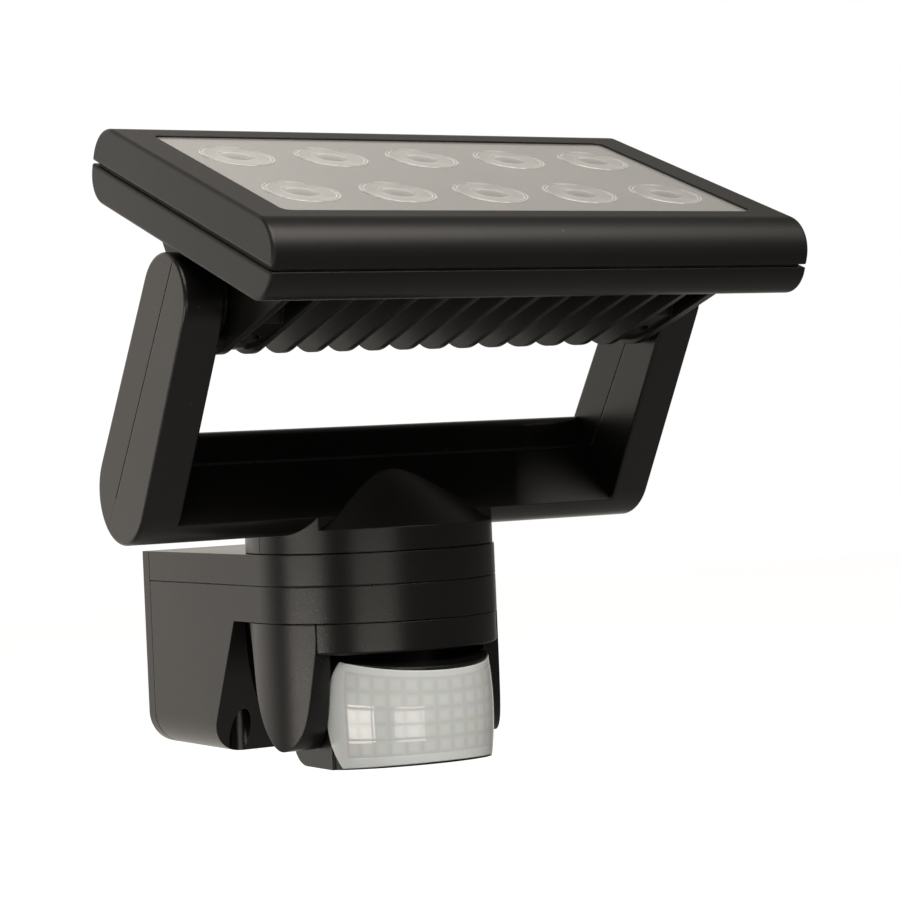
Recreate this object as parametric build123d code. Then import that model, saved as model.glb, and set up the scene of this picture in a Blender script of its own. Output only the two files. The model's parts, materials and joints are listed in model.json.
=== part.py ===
from build123d import *
import os
from math import atan2, cos, radians, sin, sqrt

# A wall-mounted LED floodlight with a passive infrared motion sensor below it.
# Millimetres and degrees. The origin is the centre of the face that rests on the wall,
# +Y points into the wall, +X to the right as seen from the front, +Z up.

# ---------------------------------------------------------------- driving dimensions
# Round tower and wall box
drum_radius = 43.5              # the box is as wide as the round tower
swivel_reach = 91.1             # wall face to the swivel axis
box_height = 70.8
cap_height = 10.9
band_height = 12.3              # part of the main housing that shows under the cap
slope_top_reach = 70.6          # wall to the top of the sloping front face
slope_bottom_reach = 48.9       # wall to the bottom of the sloping front face
box_corner_radius = 12.0
plate_thickness = 5.1
plate_lip = 2.0                 # locating rim of the wall plate inside the housing

# Yoke
yoke_width = 199.4
arm_thickness = 14.3
arm_lean = 33.5                 # forward from upright
arm_reach = 90.0                # knee on the swivel axis to the tilt axis
knee_height = 44.6              # height of the knee above the box centre
arm_top_radius = 15.5
heel_radius = 17.7              # rounded underside of the crossbar
heel_drop = 70.5                # tilt axis to the heel's centre, down the arm
heel_offset = 2.3               # heel's centre in front of the arm's middle plane
floor_drop = 62.7               # tilt axis to the crossbar's top face, down the arm
floor_slope = 27.5
floor_edge_radius = 5.0         # rounded rear edge of the crossbar's top face
foot_radius = 43.0
foot_height = 7.9               # straight side of the round foot up to its rim
hill_slope = 37.05              # rise of the conical hill on the foot

# Lamp head
head_length = 200.2
head_width = 128.8
head_tilt = 20.08               # light face leans forward from facing straight up
bezel_depth = 13.6
bezel_corner = 11.5
casting_depth = 11.8
casting_corner = 10.0
head_seam = 1.0
pivot_depth = 29.5              # tilt axis behind the head's seam plane
pivot_offset = 3.0              # tilt axis towards the far edge of the head
window_length = 176.0
window_width = 92.0
lens_plate_thickness = 2.6
lens_plate_recess = 0.6         # lens plate below the bezel's face
ledge = 3.0                     # width of the step that the lens plate rests on
optic_radius = 12.5
optic_depth = 10.8
optic_pitch = 34.7
optic_row_pitch = 44.4
optic_columns = 5
led_size = 3.5
fin_count = 15
fin_pitch = 11.6
fin_thickness = 2.2
fin_root_half = 50.7
fin_tip_radius = 17.3           # round tip, about the tilt axis
lug_half = 26.0                 # solid lug between the two outer fins
lug_step = 1.5                  # how far the lug stays inside the fins' outline
lug_screw_spacing = 30.2

# Sensor turret
band_drop = 10.5                # height of the turret's front band
ear_drop = 43.2                 # turret top to the tips of its ears
ear_front = 24.0                # ear's front edge ahead of the swivel axis
ear_back = 13.1                 # ear's rear edge behind the swivel axis
ear_gap = 61.0                  # between the inner faces of the ears
sensor_lens_reach = 20.3        # swivel axis to the centre of the sensor's round front
sensor_lens_radius = 30.1       # at mid height
sensor_lens_bulge = 1.5         # how much narrower the lens is at its top and bottom
sensor_lens_half_height = 17.7
sensor_radius = 28.8
sensor_half_width = 29.6
sensor_height = 37.2
sensor_gap = 2.0                # between the band and the top of the sensor
sensor_back_reach = 6.6         # sensor's back behind the swivel axis
sensor_tilt_reach = 11.5        # tilt axis ahead of the swivel axis
sensor_tilt_drop = 16.1         # tilt axis below the sensor's top
knob_radius = 4.2
knob_pitch = 15.0

# Walls, fits and fasteners
wall = 2.5
sensor_wall = 2.4
seam_groove = 0.4
edge_round = 1.2
moving_gap = 0.3                # between faces of bodies that move past each other
running_gap = 0.05              # radial clearance of a shaft in its bush
fit_gap = 0.2                   # around a piece dropped into a recess
nut_slot = 3.0                  # width of the spanner slots in the swivel nut
stem_radius = 13.0
stem_bore = 9.5
spigot_radius = 12.0
spigot_bore = 8.5
pivot_radius = 6.0
pin_radius = 3.0
screw_radius = 1.5
screw_head_radius = 2.8
screw_head_height = 2.2
head_clearance = 0.3
tunnel_radius = 3.9             # deep holes in the sloping face
tunnel_spacing = 66.8
tunnel_reach = 52.0
cable_radius = 4.0
cable_height = 13.0             # cable hole above the centre of the wall face
wall_screw_radius = 2.4
wall_screw_span_x = 58.0
wall_screw_span_z = 36.0
board_thickness = 1.6

# ---------------------------------------------------------------- derived places
box_top = box_height / 2
box_bottom = -box_height / 2
cap_bottom = box_top - cap_height
drum_floor = cap_bottom - band_height
slope_angle = atan2(slope_top_reach - slope_bottom_reach, drum_floor - box_bottom)
sweep_radius = drum_radius + 0.8
lean = radians(arm_lean)
pivot_y = -swivel_reach - arm_reach * sin(lean)
pivot_z = knee_height + arm_reach * cos(lean)
yoke_half = yoke_width / 2
arm_inner = yoke_half - arm_thickness
foot_bottom = box_top + moving_gap
foot_rim = foot_bottom + foot_height
turret_top = drum_floor - moving_gap
fin_end = fin_pitch * (fin_count - 1) / 2
lug_x = fin_end - fin_pitch / 2
sensor_top = turret_top - band_drop - sensor_gap
sensor_bottom = sensor_top - sensor_height
sensor_mid = sensor_top - sensor_height / 2
sensor_y = -swivel_reach - sensor_lens_reach
sensor_back = -swivel_reach + sensor_back_reach
sensor_tilt_y = -swivel_reach - sensor_tilt_reach
sensor_tilt_z = sensor_top - sensor_tilt_drop

# Arm frame: local x ahead of the arm's middle plane, local y down the arm, normal +X
arm_plane = Plane(
    origin=(0, pivot_y, pivot_z), x_dir=(0, -cos(lean), -sin(lean)), z_dir=(1, 0, 0)
)
# Head frame: local Y along the head's width, local Z out of the light face
head_frame = Location((0, pivot_y, pivot_z), (head_tilt, 0, 0)) * Location(
    (0, -pivot_offset, pivot_depth)
)
LOW = (Align.CENTER, Align.CENTER, Align.MIN)


# ---------------------------------------------------------------- shared shapes
def block(x, y, z):
    """Box between two values on each axis."""
    middle = [(low + high) / 2 for low, high in (x, y, z)]
    return Pos(*middle) * Box(x[1] - x[0], y[1] - y[0], z[1] - z[0])


def rod_z(radius, z, x=0.0, y=-swivel_reach):
    """Upright cylinder, on the swivel axis unless placed elsewhere."""
    return Pos(x, y, z[0]) * Cylinder(radius, z[1] - z[0], align=LOW)


def tube_z(outer, inner, z, x=0.0, y=-swivel_reach):
    return rod_z(outer, z, x, y) - rod_z(inner, z, x, y)


def rod_x(radius, x, y, z):
    return Pos(x[0], y, z) * Rot(0, 90, 0) * Cylinder(radius, x[1] - x[0], align=LOW)


def tube_x(outer, inner, x, y, z):
    return rod_x(outer, x, y, z) - rod_x(inner, x, y, z)


def rod_y(radius, y, x, z):
    return Pos(x, y[0], z) * Rot(-90, 0, 0) * Cylinder(radius, y[1] - y[0], align=LOW)


def nut_x(across, bore, x, y, z):
    """Hexagonal nut on an axis along X."""
    blank = Rot(0, 90, 0) * extrude(RegularPolygon(across / 2, 6, major_radius=False), x[1] - x[0])
    return Pos(x[0], y, z) * blank - rod_x(bore, x, y, z)


def joined(pieces):
    """One shape from a list; separate solids stay separate."""
    total = pieces[0]
    for piece in pieces[1:]:
        total = total + piece
    return total


def mirrored_x(piece):
    return mirror(piece, Plane.YZ)


# ---------------------------------------------------------------- wall box
def tower_plan(inset):
    """Plan of the tower: the drum's circle run back to the wall plate."""
    radius = drum_radius - inset
    depth = swivel_reach - plate_thickness
    middle = -(swivel_reach + plate_thickness) / 2
    return Pos(0, -swivel_reach) * Circle(radius) + Pos(0, middle) * Rectangle(2 * radius, depth)


def tower(inset, z):
    return Pos(0, 0, z[0]) * extrude(tower_plan(inset), z[1] - z[0])


def box_outline(inset, top):
    """Front view of the box: square at the top, rounded at its two lower corners."""
    half = drum_radius - inset
    low = box_bottom + inset
    outline = Pos(0, (low + top) / 2) * Rectangle(2 * half, top - low)
    outline = fillet(outline.vertices().sort_by(Axis.Y)[:2], box_corner_radius - inset)
    return Plane.XZ * outline


def box_slice(inset, top, y):
    """The box outline between two depths; y runs from the wall side to the front."""
    return Pos(0, y[0], 0) * extrude(box_outline(inset, top), y[0] - y[1])


def lower_box(inset, top):
    """Lower box with its sloping front face, moved inwards by inset."""
    shift = inset / cos(slope_angle)
    run = (slope_top_reach - slope_bottom_reach) / (drum_floor - box_bottom)
    top_reach = slope_top_reach - shift + run * (top - drum_floor)
    side = Plane.YZ * make_face(
        Polyline(
            (-plate_thickness, box_bottom),
            (-slope_bottom_reach + shift, box_bottom),
            (-top_reach, top),
            (-plate_thickness, top),
            close=True,
        )
    )
    full = box_slice(inset, top, (-plate_thickness, -swivel_reach))
    return full & extrude(side, drum_radius, both=True)


tunnel_seat = drum_floor - 18.0
board_front = -31.6
board_top = cap_bottom - 4.5
board_bottom = box_bottom + 9.4
board_half = drum_radius - wall - 2.5
board_screw_x = board_half - 2.0
rib_depth = 6.4
bush_flange = 1.5
bush_flange_width = 3.0
bush_wall = 3.0


def make_main_housing():
    """Open-backed moulding: the drum's band, the lower box and the screw tunnels."""
    outer = tower(0, (drum_floor, cap_bottom)) + lower_box(0, drum_floor)
    inner = tower(wall, (drum_floor + wall, cap_bottom))
    pocket_wall = rod_z(sweep_radius + wall, (box_bottom, drum_floor))
    lower_room = lower_box(wall, drum_floor + wall) - pocket_wall
    shell = outer - inner - lower_room
    for side in (-1, 1):
        x = side * tunnel_spacing / 2
        post = rod_z(tunnel_radius + wall, (box_bottom, cap_bottom), x, -tunnel_reach)
        shell = shell + (post & outer)
        rib_x = sorted((side * (board_screw_x - 2.5), side * (drum_radius - wall / 2)))
        rib_y = (board_front - rib_depth, board_front)
        shell = shell + block(rib_x, rib_y, (board_bottom, board_top))
    shell = shell - rod_z(sweep_radius, (box_bottom - wall, drum_floor))
    shell = shell - rod_z(spigot_radius + running_gap + bush_wall, (drum_floor, drum_floor + wall))
    for side in (-1, 1):
        x = side * tunnel_spacing / 2
        shell = shell - rod_z(tunnel_radius, (box_bottom - wall, tunnel_seat), x, -tunnel_reach)
        shell = shell - rod_z(screw_radius + fit_gap, (tunnel_seat, cap_bottom), x, -tunnel_reach)
        for z in board_screw_heights():
            hole = rod_y(screw_radius, (board_front - rib_depth, board_front), side * board_screw_x, z)
            shell = shell - hole
        shell = shell - plate_screw_hole(side)
    rim = box_slice(0, cap_bottom, (-plate_thickness, -plate_thickness - seam_groove))
    groove = (-plate_thickness, -plate_thickness - seam_groove)
    rim = rim - box_slice(seam_groove, cap_bottom + wall, groove)
    return shell - rim


def board_screw_heights():
    return (board_bottom + 4.0, board_top - 4.0)


cap_room_top = box_top - wall


def make_housing_cap():
    """Lid of the tower, with the yoke's bush hole and two screw posts."""
    cap = tower(0, (cap_bottom, box_top)) - tower(wall, (cap_bottom, cap_room_top))
    for side in (-1, 1):
        x = side * tunnel_spacing / 2
        cap = cap + rod_z(tunnel_radius, (cap_bottom, cap_room_top), x, -tunnel_reach)
        cap = cap - rod_z(screw_radius, (cap_bottom, cap_room_top), x, -tunnel_reach)
    groove = tower(0, (cap_bottom, cap_bottom + seam_groove))
    groove = groove - tower(seam_groove, (cap_bottom, cap_bottom + seam_groove))
    split = (-plate_thickness - seam_groove, -plate_thickness)
    back = block((-drum_radius, drum_radius), split, (cap_bottom, box_top))
    back = back - block(
        (-drum_radius + seam_groove, drum_radius - seam_groove),
        (-plate_thickness - seam_groove, -plate_thickness),
        (cap_bottom, box_top - seam_groove),
    )
    return cap - groove - back - rod_z(stem_radius + running_gap + bush_wall, (cap_room_top, box_top))


def make_cap_screws():
    """Two long screws, up the tunnels and into the cap's posts."""
    screws = []
    for side in (-1, 1):
        x = side * tunnel_spacing / 2
        head = rod_z(screw_head_radius, (tunnel_seat - screw_head_height, tunnel_seat), x, -tunnel_reach)
        slot = block(
            (x - screw_head_radius, x + screw_head_radius),
            (-tunnel_reach - 0.4, -tunnel_reach + 0.4),
            (tunnel_seat - screw_head_height, tunnel_seat - screw_head_height + 1.0),
        )
        shank = rod_z(screw_radius, (tunnel_seat, cap_bottom + 6.0), x, -tunnel_reach)
        screws.append(head + shank - slot)
    return joined(screws)


plate_screw_x = 24.0
tab_height = 8.0
tab_depth = 9.0
tab_half = 4.0


def plate_screw_hole(side):
    """Hole in the housing's floor for a screw into the wall plate's tab."""
    z = (box_bottom, box_bottom + wall)
    return rod_z(screw_radius + fit_gap, z, side * plate_screw_x, plate_tab_middle())


def plate_tab_middle():
    return -plate_thickness - 5.0


def make_wall_plate():
    """Back plate with a locating rim, two tabs, the cable hole and four wall screw holes."""
    plate = box_slice(0, box_top, (0, -plate_thickness))
    rim_gap = wall + fit_gap
    lip = (-plate_thickness, -plate_thickness - plate_lip)
    rim = box_slice(rim_gap, box_top - rim_gap, lip)
    rim = rim - box_slice(rim_gap + wall, box_top - rim_gap - wall, lip)
    plate = plate + rim
    tab_low = box_bottom + wall
    for side in (-1, 1):
        x = side * plate_screw_x
        depth = (-plate_thickness - tab_depth, -plate_thickness)
        tab = block((x - tab_half, x + tab_half), depth, (tab_low, tab_low + tab_height))
        plate = plate + tab
        plate = plate - rod_z(screw_radius, (tab_low, tab_low + tab_height), x, plate_tab_middle())
    for x in (-wall_screw_span_x / 2, wall_screw_span_x / 2):
        for z in (-wall_screw_span_z / 2, wall_screw_span_z / 2):
            plate = plate - rod_y(wall_screw_radius, (-plate_thickness, 0), x, z)
    plate = plate - rod_y(grommet_radius(), (-plate_thickness, 0), 0, cable_height)
    return plate - gasket_ring()


def make_plate_screws():
    screws = []
    for side in (-1, 1):
        x = side * plate_screw_x
        y = plate_tab_middle()
        head = rod_z(screw_head_radius, (box_bottom - 1.2, box_bottom), x, y)
        shank = rod_z(screw_radius, (box_bottom, box_bottom + wall + tab_height - 1.0), x, y)
        screws.append(head + shank)
    return joined(screws)


gasket_width = 2.4
gasket_depth = 2.0


def gasket_ring():
    """Sealing cord in a groove of the wall face."""
    outer = box_slice(wall, box_top - wall, (0, -gasket_depth))
    return outer - box_slice(wall + gasket_width, box_top - wall - gasket_width, (0, -gasket_depth))


def grommet_radius():
    return cable_radius + 3.0


def make_cable_grommet():
    body = rod_y(grommet_radius(), (-plate_thickness, 0), 0, cable_height)
    flange = rod_y(grommet_radius() + wall, (-plate_thickness - 2.0, -plate_thickness), 0, cable_height)
    return body + flange - rod_y(cable_radius, (-plate_thickness - 2.0, 0), 0, cable_height)


terminal_poles = 3
terminal_pitch = 9.0
terminal_size = (terminal_poles * terminal_pitch, 14.0, 13.0)
terminal_z = -22.5


def make_terminal_block():
    width, depth, height = terminal_size
    y = (-plate_thickness - depth, -plate_thickness)
    body = block((-width / 2, width / 2), y, (terminal_z, terminal_z + height))
    for x in terminal_places():
        body = body - rod_y(2.4, (y[0], y[0] + 6.0), x, terminal_z + height / 2)
        body = body - rod_z(1.8, (terminal_z, terminal_z + height), x, y[1] - 4.0)
    return body


def terminal_places():
    return [(i - (terminal_poles - 1) / 2) * terminal_pitch for i in range(terminal_poles)]


def make_terminal_screws():
    y = -plate_thickness - terminal_size[1]
    z = terminal_z + terminal_size[2] / 2
    screws = [rod_y(2.2, (y + 2.0, y + 6.0), x, z) for x in terminal_places()]
    slots = [block((x - 2.2, x + 2.2), (y + 2.0, y + 2.8), (z - 0.35, z + 0.35)) for x in terminal_places()]
    return joined([screw - slot for screw, slot in zip(screws, slots)])


def make_driver_board():
    """Circuit board of the lamp driver, screwed to the housing's ribs."""
    back = board_front + board_thickness
    board = block((-board_half, board_half), (board_front, back), (board_bottom, board_top))
    for side in (-1, 1):
        for z in board_screw_heights():
            board = board - rod_y(screw_radius + fit_gap, (board_front, back), side * board_screw_x, z)
    return board


def make_board_screws():
    back = board_front + board_thickness
    screws = []
    for side in (-1, 1):
        for z in board_screw_heights():
            shank = rod_y(screw_radius, (board_front - rib_depth + 1.0, back), side * board_screw_x, z)
            head = rod_y(screw_head_radius, (back, back + screw_head_height), side * board_screw_x, z)
            screws.append(shank + head)
    return joined(screws)


component_depth = 10.5


def on_board(x, z, depth=component_depth):
    """Block that stands on the driver board's front face."""
    return block(x, (board_front - depth, board_front), z)


def make_driver_transformer():
    core = on_board((-25.0, -5.0), (-16.0, 2.0), component_depth - 2.0)
    winding = on_board((-22.5, -7.5), (-13.0, -1.0))
    return core + winding


def make_control_relay():
    relay = on_board((8.0, 24.0), (-16.0, 6.0))
    return fillet(relay.edges().filter_by(Axis.Y), 1.0)


def make_driver_capacitors():
    length = (board_front - component_depth, board_front)
    return joined([rod_y(4.2, length, x, 12.0) for x in (-14.0, -3.0, 8.0)])


def make_swivel_bush():
    """Plain bearing of the yoke's stem in the cap."""
    bore = stem_radius + running_gap
    body = tube_z(bore + bush_wall, bore, (cap_room_top, box_top))
    flange = tube_z(bore + bush_wall + bush_flange_width, bore, (cap_room_top - bush_flange, cap_room_top))
    return body + flange


def make_turret_bush():
    """Plain bearing of the turret's spigot in the housing's floor."""
    bore = spigot_radius + running_gap
    top = drum_floor + wall
    body = tube_z(bore + bush_wall, bore, (drum_floor, top))
    return body + tube_z(bore + bush_wall + bush_flange_width, bore, (top, top + bush_flange))


# ---------------------------------------------------------------- yoke
def arm_point(ahead, down):
    """Y and Z of a place in the arm frame."""
    place = arm_plane.from_local_coords(Vector(ahead, down, 0))
    return place.Y, place.Z


def floor_front_ahead():
    """Where the crossbar's top face meets the heel's circle, ahead of the arm's plane."""
    slope = sin(radians(floor_slope)) / cos(radians(floor_slope))
    offset = floor_drop - heel_drop
    a = 1 + slope**2
    b = slope * offset - heel_offset
    c = heel_offset**2 + offset**2 - heel_radius**2
    return (-b + sqrt(b**2 - a * c)) / a


def arm_profile(inset):
    """Side view of an arm: a round top joined to a larger round heel."""
    top = Circle(arm_top_radius - inset)
    heel = Pos(heel_offset, heel_drop) * Circle(heel_radius - inset)
    return make_hull(top.edges() + heel.edges())


def bar_profile(inset):
    """Part of the arm's profile below the crossbar's sloping top face."""
    slope = radians(floor_slope)
    drop = floor_drop + inset / cos(slope)
    reach = 3 * heel_radius
    low = Pos(0, drop) * Rot(0, 0, floor_slope) * Rectangle(reach, reach, align=(Align.CENTER, Align.MIN))
    profile = arm_profile(inset) & low
    rear_edge = profile.vertices().sort_by(Axis.X)[0]
    return fillet(rear_edge, floor_edge_radius - inset)


def yoke_form(inset):
    """The whole yoke as one solid, with every face moved inwards by inset."""
    length = arm_thickness - 2 * inset
    arm = extrude(arm_plane * arm_profile(inset), length)
    if inset == 0:
        rims = arm.edges().filter_by(lambda edge: abs(edge.bounding_box().size.X) < 0.01)
        arm = fillet(rims, edge_round)
    arm = Pos(arm_inner + inset, 0, 0) * arm
    bar = extrude(arm_plane * bar_profile(inset), arm_inner + arm_thickness / 2, both=True)
    return arm + mirrored_x(arm) + bar + foot_form(inset)


def below_floor(inset):
    """Everything below the crossbar's sloping top face."""
    drop = floor_drop + inset / cos(radians(floor_slope))
    above = Rectangle(arm_reach, arm_reach, align=(Align.CENTER, Align.MIN))
    plan = Pos(0, drop) * Rot(0, 0, floor_slope) * above
    return extrude(arm_plane * plan, foot_radius, both=True)


def foot_form(inset):
    """Round swivel foot: a low drum, a saddle under the crossbar and a conical hill in front."""
    slope = radians(hill_slope)
    rise = sin(slope) / cos(slope)
    radius = foot_radius - inset
    rim = foot_rim + inset * rise - inset / cos(slope)
    foot = rod_z(radius, (foot_bottom + inset, rim))
    heel_y, heel_z = arm_point(heel_offset, heel_drop)
    ahead = floor_front_ahead()
    slope_bar = radians(floor_slope)
    front_y, _ = arm_point(ahead, floor_drop + ahead * sin(slope_bar) / cos(slope_bar))
    saddle_y = (front_y + inset, heel_y + heel_radius - 0.5 - inset)
    saddle = rod_z(radius, (rim - 1.0, heel_z)) & block((-radius, radius), saddle_y, (rim - 1.0, heel_z))
    saddle = saddle & below_floor(inset)
    hill_top_radius = 0.3 * radius
    hill_height = (radius - hill_top_radius) * rise
    hill = Pos(0, -swivel_reach, rim) * Cone(radius, hill_top_radius, hill_height, align=LOW)
    front = block((-radius, radius), (-swivel_reach - radius, -swivel_reach), (rim, rim + hill_height))
    return foot + saddle + (hill & front)


def arm_rod(radius, x, down, ahead):
    """Cylinder square to the shells' split, between two values ahead of it."""
    plane = Plane(
        origin=arm_plane.from_local_coords(Vector(ahead[0], down, x)), z_dir=arm_plane.x_dir
    )
    return Solid.make_cylinder(radius, ahead[1] - ahead[0], plane)


yoke_screw_seat = -6.0
yoke_screw_end = 9.0
yoke_boss_radius = 3.8
arm_middle = arm_inner + arm_thickness / 2


def yoke_screw_places():
    places = [(arm_middle, 0.5 * heel_drop), (arm_middle, heel_drop), (foot_radius + 8.0, heel_drop)]
    return [(side * x, down) for x, down in places for side in (-1, 1)]


def make_yoke_shells():
    """Front and rear shells, split through the tilt axis and down through the swivel axis."""
    outer = yoke_form(0)
    shell = outer - yoke_form(wall)
    reach = heel_radius + heel_offset
    for x, down in yoke_screw_places():
        shell = shell + (arm_rod(yoke_boss_radius, x, down, (-reach, reach)) & outer)
    for x, down in yoke_screw_places():
        shell = shell - arm_rod(screw_head_radius + head_clearance, x, down, (-reach, yoke_screw_seat))
        shell = shell - arm_rod(screw_radius, x, down, (yoke_screw_seat, yoke_screw_end))
    bush = pivot_radius + running_gap + bush_wall
    for x in ((arm_inner, arm_inner + wall), (-arm_inner - wall, -arm_inner)):
        shell = shell - rod_x(bush, x, pivot_y, pivot_z)
    shell = shell - rod_z(stem_radius, (foot_bottom, foot_bottom + wall))
    shell = shell - seam_cut(outer)
    outline = make_face(Polyline(*split_outline(), close=True))
    front_region = extrude(Plane.YZ * outline, yoke_width, both=True)
    return shell & front_region, shell - front_region


def split_outline():
    """Region ahead of the split, as Y and Z."""
    far = 3 * arm_reach
    top = (-swivel_reach - far * sin(lean), knee_height + far * cos(lean))
    return [(-swivel_reach, knee_height), top, (-2 * far, top[1]), (-2 * far, -far), (-swivel_reach, -far)]


def seam_cut(outer):
    """Shallow groove along the shells' joint."""
    half = seam_groove / 2
    arms = extrude(
        arm_plane * Pos(0, arm_reach / 2 - arm_top_radius) * Rectangle(seam_groove, arm_reach + 2 * half),
        yoke_half,
        both=True,
    )
    foot_y = (-swivel_reach - half, -swivel_reach + half)
    foot = block((-yoke_half, yoke_half), foot_y, (foot_bottom, knee_height))
    return (arms + foot) & (outer - yoke_form(seam_groove))


def make_yoke_screws():
    screws = []
    for x, down in yoke_screw_places():
        head = arm_rod(screw_head_radius, x, down, (yoke_screw_seat - screw_head_height, yoke_screw_seat))
        shank = arm_rod(screw_radius, x, down, (yoke_screw_seat, yoke_screw_end - 1.0))
        screws.append(Part() + head + shank)
    return joined(screws)


stem_flange_radius = 20.0
stem_flange_height = 2.8
stem_bottom = cap_bottom - 2.5
washer_thickness = 1.6


def make_swivel_stem():
    """Hollow stem that carries the yoke; its flange is held in the foot."""
    top = foot_bottom + wall
    flange = rod_z(stem_flange_radius, (top, top + stem_flange_height))
    post = flange + rod_z(stem_radius, (stem_bottom, top))
    return post - rod_z(stem_bore, (stem_bottom, top + stem_flange_height))


def washer_top():
    return cap_room_top - bush_flange - moving_gap


def make_swivel_washer():
    top = washer_top()
    return tube_z(stem_radius + bush_wall + bush_flange_width, stem_radius, (top - washer_thickness, top))


def make_swivel_nut():
    """Slotted ring nut under the cap that clamps the stem."""
    top = washer_top() - washer_thickness
    outer = stem_radius + bush_wall + 2.0
    nut = tube_z(outer, stem_radius, (stem_bottom + 1.5, top))
    for turn in range(0, 180, 45):
        notch = Box(2 * outer + 2, nut_slot, 2 * (top - stem_bottom))
        slot = Pos(0, -swivel_reach, top) * Rot(0, 0, turn) * notch
        slot = slot & tube_z(outer + 1, outer - 1.6, (stem_bottom, top))
        nut = nut - slot
    return nut


pivot_flange = arm_inner - fin_end - 1.5 - moving_gap
pivot_nut_across = 17.0


def make_pivot_bush():
    """Flanged bearing in the inner wall of the right arm."""
    bore = pivot_radius + running_gap
    body = tube_x(bore + bush_wall, bore, (arm_inner, arm_inner + wall + 0.7), pivot_y, pivot_z)
    flange_x = (arm_inner - pivot_flange, arm_inner)
    return body + tube_x(bore + bush_wall + bush_flange_width, bore, flange_x, pivot_y, pivot_z)


# ---------------------------------------------------------------- lamp head
def in_head(piece):
    """Move a piece from the head's own frame to its place."""
    return head_frame * piece


def head_half(depth, corner, inset):
    """Half of the head above its seam: a bar whose two long outer edges are rounded."""
    start = head_seam / 2
    height = depth - start - inset
    width = head_width - 2 * inset
    profile = Pos(0, start) * Rectangle(width, height, align=(Align.CENTER, Align.MIN))
    profile = fillet(profile.vertices().sort_by(Axis.Y)[-2:], max(corner - inset, 0.5))
    half = extrude(Plane.YZ * profile, head_length / 2 - inset, both=True)
    if inset == 0:
        ends = half.edges().group_by(Axis.X)
        half = fillet(ends[0] + ends[-1], edge_round)
    return half


def upright(length, width, v, radius=0.0):
    """Plate in the head's frame between two heights, with rounded corners if asked."""
    plan = RectangleRounded(length, width, radius) if radius else Rectangle(length, width)
    return Pos(0, 0, v[0]) * extrude(plan, v[1] - v[0])


def head_rod(radius, v, x, y):
    return Pos(x, y, v[0]) * Cylinder(radius, v[1] - v[0], align=LOW)


plate_top = bezel_depth - lens_plate_recess
plate_bottom = plate_top - lens_plate_thickness
lens_seal_thickness = 0.6
ledge_top = plate_bottom - lens_seal_thickness
ledge_bottom = ledge_top - 1.6
tray_floor = -casting_depth + 3.8
pedestal_top = -4.0
board_top_v = pedestal_top + board_thickness
optic_bottom = plate_bottom - optic_depth
window_corner = 3.0
corner_screw_x = head_length / 2 - 9.0
corner_screw_y = head_width / 2 - 14.4


def corner_screws():
    return [(sx * corner_screw_x, sy * corner_screw_y) for sx in (-1, 1) for sy in (-1, 1)]


def lug_screws():
    """Deep screw holes through the pivot lugs, on both sides of the tilt axis."""
    reach = lug_screw_spacing / 2
    return [(sx * lug_x, pivot_offset + sy * reach) for sx in (-1, 1) for sy in (-1, 1)]


def optic_places():
    columns = [(i - (optic_columns - 1) / 2) * optic_pitch for i in range(optic_columns)]
    return [(x, y) for y in (-optic_row_pitch / 2, optic_row_pitch / 2) for x in columns]


def make_front_bezel():
    """Front frame of the head, with the recess for the lens plate and four screw posts."""
    outer = head_half(bezel_depth, bezel_corner, 0)
    room_length = head_length - 2 * wall
    room_width = head_width - 2 * wall
    bezel = outer - upright(room_length, room_width, (0, ledge_bottom), window_corner)
    recess = (window_length + 2 * fit_gap, window_width + 2 * fit_gap)
    bezel = bezel - upright(*recess, (ledge_top, bezel_depth), window_corner)
    opening = (window_length - 2 * ledge, window_width - 2 * ledge)
    bezel = bezel - upright(*opening, (0, bezel_depth), window_corner)
    for x, y in corner_screws():
        bezel = bezel + head_rod(4.0, (tray_floor, ledge_bottom), x, y)
        bezel = bezel - head_rod(screw_radius, (tray_floor, ledge_bottom - 1.0), x, y)
    return in_head(bezel)


def fin_profile(inset):
    """Fin: wide where it leaves the head, narrowing to a round tip about the tilt axis."""
    top = -casting_depth + 1.0
    root = fin_root_half - inset
    base = Pos(pivot_offset, top) * Rectangle(2 * root, 1.0)
    tip = Pos(pivot_offset, -pivot_depth) * Circle(fin_tip_radius - inset)
    return make_hull(base.edges() + tip.edges())


def fin_places():
    return [(i - (fin_count - 1) / 2) * fin_pitch for i in range(fin_count)]


end_fin_thickness = 3.0
shaft_end = fin_end - 9.0       # inner end of the blind hole for a pivot shaft


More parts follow.
